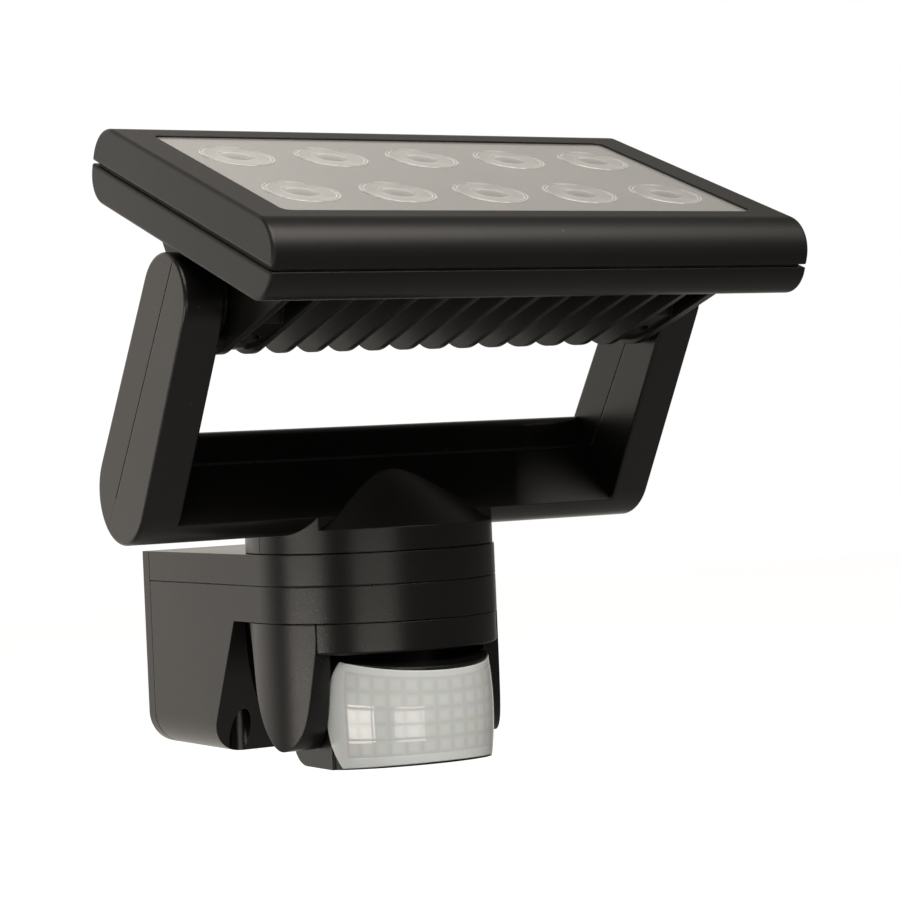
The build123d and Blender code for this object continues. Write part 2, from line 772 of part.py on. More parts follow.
def make_heat_sink():
    """Cast rear half of the head: tray, board pedestal, cooling fins and pivot lugs."""
    casting = mirror(head_half(casting_depth, casting_corner, 0), Plane.XY)
    room = upright(head_length - 2 * wall, head_width - 2 * wall, (tray_floor, 0), window_corner)
    pedestal = upright(window_length - 12.0, window_width - 8.0, (tray_floor, pedestal_top))
    casting = casting - room + pedestal
    for x in fin_places():
        thickness = end_fin_thickness if abs(x) > fin_end - 1 else fin_thickness
        fin = Pos(x, 0, 0) * extrude(Plane.YZ * fin_profile(0), thickness / 2, both=True)
        casting = casting + fin
    lug_range = Pos(pivot_offset, -pivot_depth) * Rectangle(2 * lug_half, 2 * pivot_depth)
    lug = extrude(Plane.YZ * (fin_profile(lug_step) & lug_range), fin_pitch / 2, both=True)
    casting = casting + Pos(lug_x, 0, 0) * lug + Pos(-lug_x, 0, 0) * lug
    for x, y in lug_screws():
        seat = -casting_depth + 1.6
        casting = casting - head_rod(screw_head_radius + head_clearance, (-2 * pivot_depth, seat), x, y)
        casting = casting - head_rod(screw_radius + fit_gap, (seat, pedestal_top), x, y)
    for x, y in corner_screws():
        seat = -casting_depth + screw_head_height
        casting = casting - head_rod(screw_head_radius + head_clearance, (-casting_depth, seat), x, y)
        casting = casting - head_rod(screw_radius + fit_gap, (seat, tray_floor), x, y)
    axle = rod_x(pivot_radius, (-yoke_half, yoke_half), pivot_offset, -pivot_depth)
    core = rod_x(pivot_radius, (-shaft_end, shaft_end), pivot_offset, -pivot_depth)
    return in_head(casting - (axle - core))


def make_head_screws(places, seat, end):
    """Screws in the head's frame with their heads below the seat."""
    screws = []
    for x, y in places:
        head = head_rod(screw_head_radius, (seat - screw_head_height, seat), x, y)
        screws.append(head + head_rod(screw_radius, (seat, end), x, y))
    return in_head(joined(screws))


def make_head_seal():
    """Rubber seal in the seam between the bezel and the casting."""
    v = (-head_seam / 2, head_seam / 2)
    outer = upright(head_length - 2.4, head_width - 2.4, v, window_corner)
    return in_head(outer - upright(head_length - 2 * wall, head_width - 2 * wall, v, window_corner))


def make_lens_seal():
    v = (ledge_top, plate_bottom)
    outer = upright(window_length, window_width, v, window_corner)
    return in_head(outer - upright(window_length - 2 * ledge, window_width - 2 * ledge, v, window_corner))


def make_lens_plate():
    """Clear plate moulded in one with its round collimating optics."""
    plate = upright(window_length, window_width, (plate_bottom, plate_top), window_corner)
    foot = 0.42 * optic_radius
    for x, y in optic_places():
        cone = Pos(x, y, optic_bottom) * Cone(foot, optic_radius - 1.0, optic_depth, align=LOW)
        cavity = head_rod(0.6 * foot, (optic_bottom, optic_bottom + 0.6 * optic_depth), x, y)
        ring = head_rod(optic_radius, (plate_top - 0.3, plate_top), x, y)
        ring = ring - head_rod(optic_radius - 0.6, (plate_top - 0.3, plate_top), x, y)
        plate = plate + cone - cavity - ring
    return in_head(plate)


carrier_v = (board_top_v + 0.6, board_top_v + 1.8)


def make_optic_carrier():
    """Plastic frame that presses the board to the casting; four posts take the rear screws."""
    frame = upright(window_length - 14.0, window_width - 12.0, carrier_v, window_corner)
    for x, y in optic_places():
        frame = frame - head_rod(0.42 * optic_radius + 1.2, carrier_v, x, y)
    for x, y in lug_screws():
        frame = frame + head_rod(3.2, (pedestal_top, carrier_v[1] + 0.9), x, y)
        frame = frame - head_rod(screw_radius, (pedestal_top, carrier_v[1] + 0.9), x, y)
    return in_head(frame - optic_room())


def optic_room():
    """Space taken by the optics, with clearance, above the carrier."""
    v = (optic_bottom - 0.3, plate_bottom)
    foot = 0.42 * optic_radius + 0.5
    cones = [Pos(x, y, v[0]) * Cone(foot, optic_radius, v[1] - v[0], align=LOW) for x, y in optic_places()]
    return joined(cones)


def make_led_board():
    board = upright(window_length - 16.0, window_width - 12.0, (pedestal_top, board_top_v), window_corner)
    for x, y in lug_screws():
        board = board - head_rod(3.2 + fit_gap, (pedestal_top, board_top_v), x, y)
    return in_head(board)


def make_leds():
    leds = []
    for x, y in optic_places():
        base = Pos(x, y, board_top_v) * Box(led_size, led_size, 0.8, align=LOW)
        dome = Pos(x, y, board_top_v + 0.8) * Sphere(0.4 * led_size)
        dome = dome & head_rod(led_size, (board_top_v + 0.8, board_top_v + led_size), x, y)
        leds.append(base + dome)
    return in_head(joined(leds))


def make_pivot_shaft():
    """Axle of the right arm: a hollow stud that screws into the lug and turns in the arm's bush."""
    return tube_x(pivot_radius, shaft_bore, (shaft_end, yoke_half - wall - 1.2), pivot_y, pivot_z)


shaft_bore = 3.0
pivot_washer_x = arm_inner + wall + 0.7 + moving_gap


def make_pivot_washer():
    x = (pivot_washer_x, pivot_washer_x + 1.2)
    return tube_x(pivot_radius + 3.5, pivot_radius, x, pivot_y, pivot_z)


def make_pivot_nut():
    x = (pivot_washer_x + 1.2, yoke_half - wall - 2.0)
    return nut_x(pivot_nut_across, pivot_radius, x, pivot_y, pivot_z)


# ---------------------------------------------------------------- sensor turret
band_outer = drum_radius - 0.3
band_inner = band_outer - 2.8
band_bottom = turret_top - band_drop


def ear_outline():
    """Side view of an ear, as Y and Z: straight front, curved rear, rounded tip."""
    front = -swivel_reach - ear_front
    back = -swivel_reach + ear_back
    width = back - front
    tip = turret_top - ear_drop
    curve = Spline(
        (back, turret_top),
        (back - 0.10 * width, turret_top - 0.215 * ear_drop),
        (back - 0.197 * width, turret_top - 0.61 * ear_drop),
        (back - 0.383 * width, turret_top - 0.875 * ear_drop),
        (back - 0.606 * width, tip),
        (back - 0.80 * width, turret_top - 0.91 * ear_drop),
        (back - 0.895 * width, turret_top - 0.738 * ear_drop),
        (back - 0.96 * width, turret_top - 0.428 * ear_drop),
        (front, turret_top - 0.15 * ear_drop),
        (front, turret_top),
    )
    return Plane.YZ * make_face([curve.edge(), Line(curve @ 1, curve @ 0).edge()])


def make_sensor_fork():
    """Turret top disc with its spigot and two tapering ears."""
    disc = rod_z(band_inner, (turret_top - wall, turret_top))
    ear = extrude(ear_outline(), drum_radius)
    ear = ear & rod_z(drum_radius, (turret_top - ear_drop - 1.0, turret_top))
    ear = ear & block((ear_gap / 2, drum_radius), (-2 * swivel_reach, 0), (-box_height, box_height))
    ear = ear - rod_x(pin_radius, (ear_gap / 2, ear_gap / 2 + 7.0), sensor_tilt_y, sensor_tilt_z)
    fork = disc + ear + mirrored_x(ear)
    spigot_top = drum_floor + wall + bush_flange + moving_gap + 2.5
    fork = fork + rod_z(spigot_radius, (turret_top - wall, spigot_top))
    clip = clip_height()
    groove = tube_z(spigot_radius, spigot_radius - 1.0, clip)
    return fork - rod_z(spigot_bore, (turret_top - wall, spigot_top)) - groove


def clip_height():
    low = drum_floor + wall + bush_flange + moving_gap
    return (low, low + 1.5)


def make_turret_clip():
    """Snap ring that keeps the turret in its bush."""
    ring = tube_z(spigot_radius + 3.0, spigot_radius - 1.0, clip_height())
    mouth = block((-2.5, 2.5), (-swivel_reach, -swivel_reach + 2 * spigot_radius), clip_height())
    return ring - mouth


def make_turret_band():
    """Front skirt of the turret between the ears."""
    band = tube_z(band_outer, band_inner, (band_bottom, turret_top))
    front = -swivel_reach - ear_front - 0.2
    band = fillet(band.edges().group_by(Axis.Z)[0].sort_by(SortBy.RADIUS)[-1], edge_round)
    depth = (-swivel_reach - drum_radius, front)
    keep = block((-drum_radius, drum_radius), depth, (band_bottom, turret_top))
    return band & keep


def make_tilt_pins():
    x = (sensor_half_width - sensor_wall - 1.2, ear_gap / 2 + 7.0)
    pin = rod_x(pin_radius, x, sensor_tilt_y, sensor_tilt_z)
    return pin + mirrored_x(pin)


# ---------------------------------------------------------------- sensor head
hood_drop = 3.0                 # top of the sensor falls towards its front
chin_rise = 2.4                 # bottom of the sensor rises towards its front
sensor_rear_radius = 14.0
sensor_heel_radius = 9.0
sensor_split = sensor_back - 11.0
lens_thickness = 1.1
lens_corner = 0.4               # how far the lens reaches past the shell's edges at its corners
brow = 1.5                      # height of the black lip above the lens at its front
lip = 0.8                       # the same below the lens


def sensor_plan(inset):
    """Plan of the sensor head: round front, parallel sides."""
    half = sensor_half_width - inset
    rear = sensor_back - inset
    middle = (sensor_y + rear) / 2
    return Pos(0, sensor_y) * Circle(sensor_radius - inset) + Pos(0, middle) * Rectangle(
        2 * half, rear - sensor_y
    )


def sensor_side(inset):
    """Side view of the sensor head, as Y and Z."""
    front = sensor_y - sensor_radius - 3.0
    rear = sensor_back - inset
    top = sensor_top - inset
    low = sensor_bottom + inset
    outline = make_face(
        Polyline(
            (rear, low),
            (sensor_y, low),
            (front, low + chin_rise),
            (front, top - hood_drop),
            (sensor_y, top),
            (rear, top),
            close=True,
        )
    )
    rear_corners = outline.vertices().group_by(Axis.X)[-1].sort_by(Axis.Y)
    outline = fillet(rear_corners[-1], sensor_rear_radius - inset)
    rear_low = outline.vertices().sort_by(Axis.Y)[:2].sort_by(Axis.X)[-1]
    outline = fillet(rear_low, sensor_heel_radius - inset)
    return Plane.YZ * outline


def sensor_form(inset):
    plan = Pos(0, 0, sensor_bottom) * extrude(sensor_plan(inset), sensor_height)
    return plan & extrude(sensor_side(inset), sensor_half_width, both=True)


def lens_barrel(grow):
    """Solid barrel about the lens's upright axis; grow moves its surface outwards."""
    half = sensor_height / 2 + 1.0
    edge = sensor_lens_radius - sensor_lens_bulge + grow
    middle = sensor_lens_radius + grow
    arc = ThreePointArc((edge, -half), (middle, 0), (edge, half))
    outline = make_face([arc.edge(), *Polyline((edge, half), (0, half), (0, -half), (edge, -half)).edges()])
    return Pos(0, sensor_y, sensor_mid) * revolve(Plane.XZ * outline, Axis.Z)


def lens_window(inset):
    """Region that the lens covers: curved side edges, and a top and bottom that close in."""
    side_reach = 2.1 - inset
    sagitta = 7.0
    half = sensor_lens_half_height - inset
    radius = (half**2 + sagitta**2) / (2 * sagitta)
    centre_y = sensor_y + side_reach - radius
    front = sensor_y - sensor_lens_radius - 3.0
    disc = Pos(centre_y, sensor_mid) * Circle(radius)
    ahead = Pos((centre_y + front) / 2, sensor_mid) * Rectangle(abs(centre_y - front) + 0.1, 2 * radius)
    rise = (hood_drop + brow + lens_corner) / (sensor_y - front)
    sink = (chin_rise + lip - lens_corner) / (sensor_y - front)
    behind = 2 * side_reach + 2.0
    strip = make_face(
        Polyline(
            (sensor_y + behind, sensor_top + lens_corner + rise * behind - inset),
            (front, sensor_top - hood_drop - brow - inset),
            (front, sensor_bottom + chin_rise + lip + inset),
            (sensor_y + behind, sensor_bottom + lens_corner - sink * behind + inset),
            close=True,
        )
    )
    return extrude(Plane.YZ * ((disc + ahead) & strip), 2 * sensor_lens_radius, both=True)


def make_fresnel_lens():
    """Curved translucent lens sheet over the front of the sensor head."""
    sheet = lens_barrel(0) - lens_barrel(-lens_thickness)
    return sheet & lens_window(0) & lens_front()


def lens_front():
    reach = 2 * sensor_lens_radius
    return block((-reach, reach), (sensor_y - reach, sensor_y + 5.0), (sensor_bottom, sensor_top + 1.0))


def knob_places():
    return [-knob_pitch, 0.0, knob_pitch]


knob_y = sensor_y + 4.0
knob_height = 2.6
knob_pad = 3.2


def make_sensor_shells():
    """Front and rear shells of the sensor head."""
    form = sensor_form(0)
    shell = form - sensor_form(sensor_wall)
    for x in knob_places():
        pad = rod_z(knob_radius + 2.2, (sensor_bottom, sensor_bottom + knob_pad), x, knob_y)
        shell = shell + pad
        pocket = rod_z(knob_radius + 0.4, (sensor_bottom, sensor_bottom + knob_height), x, knob_y)
        stem = rod_z(screw_radius + running_gap, (sensor_bottom, sensor_bottom + knob_pad), x, knob_y)
        shell = shell - pocket - stem
    pin_x = (-sensor_half_width, sensor_half_width)
    shell = shell - rod_x(pin_radius + running_gap, pin_x, sensor_tilt_y, sensor_tilt_z)
    lens_body = (lens_barrel(1.0) - lens_barrel(-lens_thickness)) & lens_window(0) & lens_front()
    opening = lens_barrel(0) & lens_window(1.6) & lens_front()
    shell = shell - lens_body - opening
    rear_region = block((-drum_radius, drum_radius), (sensor_split, 0), (-box_height, box_height))
    return shell - rear_region, shell & rear_region


sensor_board_y = sensor_tilt_y - 6.0


def make_sensor_board():
    y = (sensor_board_y, sensor_board_y + board_thickness)
    return block((-21.0, 21.0), y, (sensor_bottom + 10.5, sensor_top - 6.0))


def make_pyro_sensor():
    """Round can with a square infrared window."""
    can = rod_y(4.6, (sensor_board_y - 4.2, sensor_board_y), 0, sensor_mid)
    flange = rod_y(5.2, (sensor_board_y - 0.8, sensor_board_y), 0, sensor_mid)
    depth = (sensor_board_y - 4.2, sensor_board_y - 3.9)
    pane = block((-1.6, 1.6), depth, (sensor_mid - 1.2, sensor_mid + 1.2))
    return can + flange - pane


def make_light_sensor():
    return rod_y(2.5, (sensor_board_y - 2.2, sensor_board_y), 13.0, sensor_mid - 3.0)


def make_trim_pots():
    low = sensor_bottom + knob_pad
    pots = []
    for x in knob_places():
        pot = block((x - 4.5, x + 4.5), (knob_y - 4.0, knob_y + 4.0), (low, low + 5.0))
        pots.append(pot - rod_z(screw_radius + running_gap, (low, low + 4.0), x, knob_y))
    return joined(pots)


def make_knob(x):
    """Slotted adjuster knob, recessed in the underside, with a stem into its potentiometer."""
    low = sensor_bottom + 0.2
    knob = rod_z(knob_radius, (low, sensor_bottom + knob_height - 0.3), x, knob_y)
    slot = block((x - knob_radius, x + knob_radius), (knob_y - 0.5, knob_y + 0.5), (low, low + 1.0))
    stem_top = sensor_bottom + knob_pad + 3.6
    return knob - slot + rod_z(screw_radius, (low + 1.2, stem_top), x, knob_y)


# ---------------------------------------------------------------- build and write
yoke_front, yoke_rear = make_yoke_shells()
sensor_front, sensor_rear = make_sensor_shells()
nodes = {
    "wall_plate": make_wall_plate(),
    "wall_gasket": gasket_ring(),
    "cable_grommet": make_cable_grommet(),
    "plate_screws": make_plate_screws(),
    "terminal_block": make_terminal_block(),
    "terminal_screws": make_terminal_screws(),
    "main_housing": make_main_housing(),
    "housing_cap": make_housing_cap(),
    "cap_screws": make_cap_screws(),
    "driver_board": make_driver_board(),
    "board_screws": make_board_screws(),
    "driver_transformer": make_driver_transformer(),
    "control_relay": make_control_relay(),
    "driver_capacitors": make_driver_capacitors(),
    "swivel_bush": make_swivel_bush(),
    "turret_bush": make_turret_bush(),
    "yoke_front_shell": yoke_front,
    "yoke_rear_shell": yoke_rear,
    "yoke_screws": make_yoke_screws(),
    "swivel_stem": make_swivel_stem(),
    "swivel_washer": make_swivel_washer(),
    "swivel_nut": make_swivel_nut(),
    "right_pivot_bush": make_pivot_bush(),
    "left_pivot_bush": mirrored_x(make_pivot_bush()),
    "front_bezel": make_front_bezel(),
    "heat_sink": make_heat_sink(),
    "bezel_screws": make_head_screws(
        corner_screws(), -casting_depth + screw_head_height, ledge_bottom - 2.0
    ),
    "carrier_screws": make_head_screws(lug_screws(), -casting_depth + 1.6, carrier_v[1] + 0.5),
    "head_seal": make_head_seal(),
    "lens_seal": make_lens_seal(),
    "lens_plate": make_lens_plate(),
    "optic_carrier": make_optic_carrier(),
    "led_board": make_led_board(),
    "leds": make_leds(),
    "right_pivot_shaft": make_pivot_shaft(),
    "left_pivot_shaft": mirrored_x(make_pivot_shaft()),
    "right_pivot_washer": make_pivot_washer(),
    "left_pivot_washer": mirrored_x(make_pivot_washer()),
    "right_pivot_nut": make_pivot_nut(),
    "left_pivot_nut": mirrored_x(make_pivot_nut()),
    "sensor_fork": make_sensor_fork(),
    "turret_clip": make_turret_clip(),
    "turret_band": make_turret_band(),
    "tilt_pins": make_tilt_pins(),
    "sensor_front_shell": sensor_front,
    "sensor_rear_shell": sensor_rear,
    "fresnel_lens": make_fresnel_lens(),
    "sensor_board": make_sensor_board(),
    "pyro_sensor": make_pyro_sensor(),
    "light_sensor": make_light_sensor(),
    "trim_pots": make_trim_pots(),
    "time_knob": make_knob(knob_places()[0]),
    "lux_knob": make_knob(knob_places()[1]),
    "range_knob": make_knob(knob_places()[2]),
}
os.makedirs("parts", exist_ok=True)
for name, shape in nodes.items():
    export_step(shape, f"parts/{name}.step")
print(len(nodes), "nodes written")
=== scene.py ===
import json
from math import cos, pi, radians, sin
from typing import NamedTuple

import bmesh
import bpy
import numpy as np
from mathutils import Matrix, Vector


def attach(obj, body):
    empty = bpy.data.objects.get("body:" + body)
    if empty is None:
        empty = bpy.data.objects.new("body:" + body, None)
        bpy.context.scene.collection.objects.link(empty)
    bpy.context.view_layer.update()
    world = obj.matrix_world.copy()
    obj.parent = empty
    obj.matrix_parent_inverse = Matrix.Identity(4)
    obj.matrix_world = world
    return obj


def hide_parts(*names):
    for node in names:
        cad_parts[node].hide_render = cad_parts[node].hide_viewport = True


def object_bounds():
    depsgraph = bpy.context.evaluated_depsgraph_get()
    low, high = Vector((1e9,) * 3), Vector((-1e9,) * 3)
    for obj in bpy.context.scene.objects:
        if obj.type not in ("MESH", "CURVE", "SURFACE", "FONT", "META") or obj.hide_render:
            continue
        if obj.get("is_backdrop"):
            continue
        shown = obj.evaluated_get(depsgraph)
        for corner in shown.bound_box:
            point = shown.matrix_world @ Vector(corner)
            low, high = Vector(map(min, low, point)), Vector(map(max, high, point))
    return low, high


bl_info = {
    "name": "Motion sensor floodlight",
    "version": (1, 0, 0),
    "blender": (4, 5, 0),
    "location": "View3D > Sidebar > Floodlight",
    "description": "Dresses a wall floodlight with its plastics, castings, lenses and fittings",
    "category": "Object",
}

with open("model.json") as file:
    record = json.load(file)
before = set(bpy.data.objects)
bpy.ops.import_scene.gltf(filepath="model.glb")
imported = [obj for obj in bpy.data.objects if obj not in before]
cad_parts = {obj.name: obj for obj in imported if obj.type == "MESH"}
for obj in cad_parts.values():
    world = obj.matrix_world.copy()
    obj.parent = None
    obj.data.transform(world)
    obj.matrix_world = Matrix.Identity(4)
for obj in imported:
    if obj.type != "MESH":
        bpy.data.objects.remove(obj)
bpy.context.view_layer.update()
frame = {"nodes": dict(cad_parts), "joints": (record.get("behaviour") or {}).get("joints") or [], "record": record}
MM = 0.001
SLOT_OF = {row["node"]: row["material_slot"] for row in frame["record"]["subparts"]}
COLOUR_OF = {row["slot"]: row["base_color"][:3] for row in frame["record"]["materials"]}
JOINTS = {joint["name"]: joint for joint in frame["joints"]}


# ---------------------------------------------------------------- fixed sizes, in millimetres
LENS_SIDE_HALF = 17.7           # half the height of the arc that ends the lens at each side
LENS_SIDE_SAG = 7.0             # how far that arc bows to the rear
LENS_SIDE_START = 2.1           # rearmost point of the arc behind the lens axis
LENS_END_MARGIN = 1.0           # bulge continues this far past the sensor's top and bottom
LENS_FRONT_MARGIN = 3.0         # the slanted edges end this far ahead of the lens
LENS_LIP = 0.4                  # gap between the lens and the shell at both slanted edges
LENS_ROOF_DROP = 4.9            # fall of the top edge towards the front
LENS_FLOOR_RISE = 2.8           # rise of the bottom edge towards the front
LENS_WALL = 1.0
FACET_COLUMNS = 7.0             # to each side of the middle
FACET_ROWS = 5.0
FACET_TOP = 0.073               # plain margin above the first row, as a share of the height
FACET_ROW = 0.1655              # one row, as a share of the height
FACET_ROW_HEIGHT = 5.9
GROOVE_WIDTH = 0.3

# Camera place, the point it looks at, and its roll in degrees
CAMERA_PLACE = (-0.4995, -0.9559, 0.0772)
CAMERA_TARGET = (0.0252, -0.1066, 0.0681)
CAMERA_ROLL = -2.4764
LIGHT_TARGET = (0.0, -0.1, 0.04)
FLOOR_DROP = 0.35
FLOOR_HALF = 6.0


class SoftBox(NamedTuple):
    """A soft box. Angles are in degrees, lengths in metres, and share is of the key brightness."""

    name: str
    azimuth: float
    elevation: float
    distance: float
    width: float
    height: float
    share: float


SOFT_BOXES = (
    SoftBox("front soft box", -26.0, -10.0, 2.6, 1.8, 0.42, 0.80),
    SoftBox("left soft box", -93.0, -9.5, 2.2, 1.50, 0.36, 1.2),
    SoftBox("top soft box", -6.0, 55.0, 2.4, 3.2, 1.7, 1.0),
)


# ---------------------------------------------------------------- sizes and colours
def length(name, description, default, low=0.0):
    """A length that the sidebar shows in the scene's unit; default and low are in millimetres."""
    return bpy.props.FloatProperty(
        name=name,
        description=description,
        default=default * MM,
        min=low * MM,
        precision=5,
        subtype="DISTANCE",
        unit="LENGTH",
    )


def colour(name, description, default):
    return bpy.props.FloatVectorProperty(
        name=name, description=description, default=default, size=3, min=0.0, max=1.0, subtype="COLOR"
    )


class FloodlightBody(bpy.types.PropertyGroup):
    """Colours and grain of the black housings and castings."""

    plastic: colour("Plastic", "Colour of the moulded housings", (0.0085, 0.0080, 0.0075))
    casting: colour("Casting", "Colour of the powder coat on the lamp head", (0.0055, 0.0052, 0.0048))
    bearing: colour("Bearings", "Colour of the bearing plastic", (0.020, 0.019, 0.018))
    grain: length("Grain", "Width of the moulded grain", 0.42, 0.05)
    edge: length("Edge", "Width of the softened edges", 0.6, 0.05)
    wear: bpy.props.FloatProperty(
        name="Wear",
        description="How much lighter the rubbed edges are",
        default=0.22,
        min=0.0,
        max=1.0,
        subtype="FACTOR",
    )


class FloodlightPanel(bpy.types.PropertyGroup):
    """Sizes and colours of the light panel and its optics."""

    tint: colour("Panel", "Colour of the clear plate over the white board", (0.262, 0.265, 0.262))
    dome: colour("Dome", "Colour seen in the middle of each optic", (0.19, 0.19, 0.187))
    radius: length("Optic radius", "Radius of one round optic", 12.5, 1.0)
    pitch: length("Optic pitch", "Distance between optics along a row", 34.7, 1.0)
    rows: length("Row pitch", "Distance between the two rows", 44.4, 1.0)
    face: length("Plate height", "Plate's face above the seam of the head", 13.0, 0.0)
    columns: bpy.props.IntProperty(name="Columns", description="Optics in one row", default=5, min=1)
    tilt: bpy.props.FloatProperty(
        name="Tilt",
        description="Lean of the light face at rest",
        default=radians(20.08),
        subtype="ANGLE",
    )
    behind: length("Pivot depth", "Tilt axis behind the seam of the head", 29.5, 0.0)
    offset: length("Pivot offset", "Tilt axis beyond the middle of the head", 3.0, 0.0)


class FloodlightSensor(bpy.types.PropertyGroup):
    """Sizes and colours of the motion sensor's lens."""

    milk: colour("Milk", "Colour of the milky lens", (0.95, 0.965, 0.985))
    reach: length("Centre", "Axis of the lens in front of the wall", 111.4, 1.0)
    radius: length("Radius", "Radius of the lens at mid height", 30.1, 1.0)
    bulge: length("Bulge", "How much narrower the lens is at its ends", 1.5, 0.1)
    top: length("Top", "Top of the sensor below the wall centre", 0.6, 0.0)
    height: length("Height", "Height of the sensor", 37.2, 1.0)
    step: bpy.props.FloatProperty(
        name="Facet",
        description="Angle of one column of facets",
        default=radians(10.5),
        subtype="ANGLE",
    )
    groove: length("Groove", "Depth of the lines between facets", 0.035, 0.0)


class FloodlightStudio(bpy.types.PropertyGroup):
    """Studio light, floor and camera."""

    floor: colour("Floor", "Colour of the pale floor", (0.86, 0.855, 0.85))
    warmth: colour("Warmth", "Colour of the studio light", (1.0, 0.94, 0.86))
    backdrop: bpy.props.FloatProperty(
        name="Backdrop", description="Brightness behind the object", default=1.03, min=0.0
    )
    room: bpy.props.FloatProperty(
        name="Room", description="Brightness of the room in front of the object", default=0.11, min=0.0
    )
    ground: bpy.props.FloatProperty(
        name="Ground", description="Brightness under the object", default=0.30, min=0.0
    )
    key: bpy.props.FloatProperty(
        name="Key", description="Brightness of the soft boxes", default=5.0, min=0.0
    )
    focal: bpy.props.FloatProperty(
        name="Focal length", description="Focal length of the camera", default=114.7, min=1.0,
        unit="CAMERA",
    )


# ---------------------------------------------------------------- shader maths
class Wire:
    """A socket that carries a number or a vector; arithmetic on it adds Math nodes."""

    def __init__(self, finish, socket):
        self.finish = finish
        self.socket = socket

    def maths(self, operation, *values):
        return self.finish.add("ShaderNodeMath", {"operation": operation}, values)

    def __add__(self, other):
        return self.maths("ADD", self, other)

    def __radd__(self, other):
        return self.maths("ADD", other, self)

    def __sub__(self, other):
        return self.maths("SUBTRACT", self, other)

    def __rsub__(self, other):
        return self.maths("SUBTRACT", other, self)

    def __mul__(self, other):
        return self.maths("MULTIPLY", self, other)

    def __rmul__(self, other):
        return self.maths("MULTIPLY", other, self)

    def __truediv__(self, other):
        return self.maths("DIVIDE", self, other)

    def __pow__(self, other):
        return self.maths("POWER", self, other)

    def __abs__(self):
        return self.maths("ABSOLUTE", self)


class Finish:
    """A new material built round one Principled shader."""

    def __init__(self, name, **constants):
        self.material = bpy.data.materials.new(name)
        self.material.use_nodes = True
        self.tree = self.material.node_tree
        self.shader = self.tree.nodes["Principled BSDF"]
        for socket, value in constants.items():
            self.shader.inputs[socket.replace("_", " ")].default_value = value

    def add(self, kind, settings=None, values=(), output=0):
        """Adds a node: its settings first, then the value or link of each socket."""
        node = self.tree.nodes.new(kind)
        for key, value in (settings or {}).items():
            if key == "stops":
                while len(node.color_ramp.elements) < len(value):
                    node.color_ramp.elements.new(1.0)
                for element, (place, tone) in zip(node.color_ramp.elements, value):
                    element.position = place
                    element.color = (*tone, 1.0)
            else:
                setattr(node, key, value)
        for key, value in values.items() if isinstance(values, dict) else enumerate(values):
            if isinstance(value, Wire):
                self.tree.links.new(value.socket, node.inputs[key])
            elif value is not None:
                node.inputs[key].default_value = value
        return Wire(self, node.outputs[output])

    def set(self, socket, value):
        if isinstance(value, Wire):
            self.tree.links.new(value.socket, self.shader.inputs[socket])
        else:
            self.shader.inputs[socket].default_value = value

    def place(self):
        """Position on the piece, in metres."""
        return self.add("ShaderNodeTexCoord", output="Object")

    def map(self):
        """The piece's own UV map as two numbers."""
        uv = self.add("ShaderNodeUVMap", {"uv_map": "piece"})
        return (self.add("ShaderNodeSeparateXYZ", {}, [uv], axis) for axis in ("X", "Y"))

    def noise(self, width, detail=2.0, rough=0.5, vector=None):
        """Smooth noise whose features are about this wide, in metres."""
        values = {"Vector": vector or self.place(), "Scale": 0.5 / width}
        values.update({"Detail": detail, "Roughness": rough})
        return self.add("ShaderNodeTexNoise", {}, values, "Fac")

    def spots(self, width, vector=None):
        """Distance to the nearest of many scattered points, as a share of their spacing."""
        values = {"Vector": vector or self.place(), "Scale": 1.0 / width}
        return self.add("ShaderNodeTexVoronoi", {"feature": "F1"}, values, "Distance")

    def between(self, value, low, high, to_low=0.0, to_high=1.0):
        """The value carried from one range to another, held at its ends."""
        return self.add("ShaderNodeMapRange", {"clamp": True}, [value, low, high, to_low, to_high])

    def mix(self, share, first, second):
        """Two colours mixed by a share."""
        first, second = (c if isinstance(c, Wire) else (*c, 1.0) for c in (first, second))
        return self.add("ShaderNodeMix", {"data_type": "RGBA"}, {0: share, 6: first, 7: second}, 2)

    def bump(self, height, depth, under=None):
        """Relief of this depth in metres."""
        values = {"Strength": 1.0, "Distance": depth, "Height": height, "Normal": under}
        return self.add("ShaderNodeBump", {}, values)

    def soft_edge(self, radius):
        """A rounded normal at sharp edges, and a mask that is 1 on those edges."""
        rounded = self.add("ShaderNodeBevel", {"samples": 4}, {"Radius": radius})
        flat = self.add("ShaderNodeNewGeometry", output="Normal")
        turn = self.add("ShaderNodeVectorMath", {"operation": "DOT_PRODUCT"}, [rounded, flat], "Value")
        return rounded, self.between(1.0 - turn, 0.004, 0.12)


# ---------------------------------------------------------------- finishes
def moulded_black(name, tone, grain, edge, wear, gloss=0.31):
    """Satin black moulding: spark-eroded grain, faint flow marks, specks of dust and rubbed edges."""
    f = Finish(name, IOR=1.5)
    flow = f.noise(0.028, 3.0)
    fine = f.noise(grain, 1.0, 0.6)
    rounded, edges = f.soft_edge(edge)
    dust = f.between(f.spots(0.011), 0.018, 0.028, 1.0, 0.0)
    deep = [0.82 * c for c in tone]
    rubbed = [min(1.0, 0.05 + 1.8 * c) for c in tone]
    body = f.mix(f.between(flow, 0.3, 0.7), deep, tone)
    body = f.mix(wear * edges * f.between(f.noise(0.004, 2.0), 0.35, 0.7), body, rubbed)
    body = f.mix(dust * 0.45, body, (0.34, 0.32, 0.30))
    f.set("Base Color", body)
    f.set("Roughness", gloss - 0.05 * edges + 0.10 * (flow - 0.5) + 0.10 * (fine - 0.5) + 0.25 * dust)
    f.set("Normal", f.bump(fine, 0.05 * grain, rounded))
    return f.material


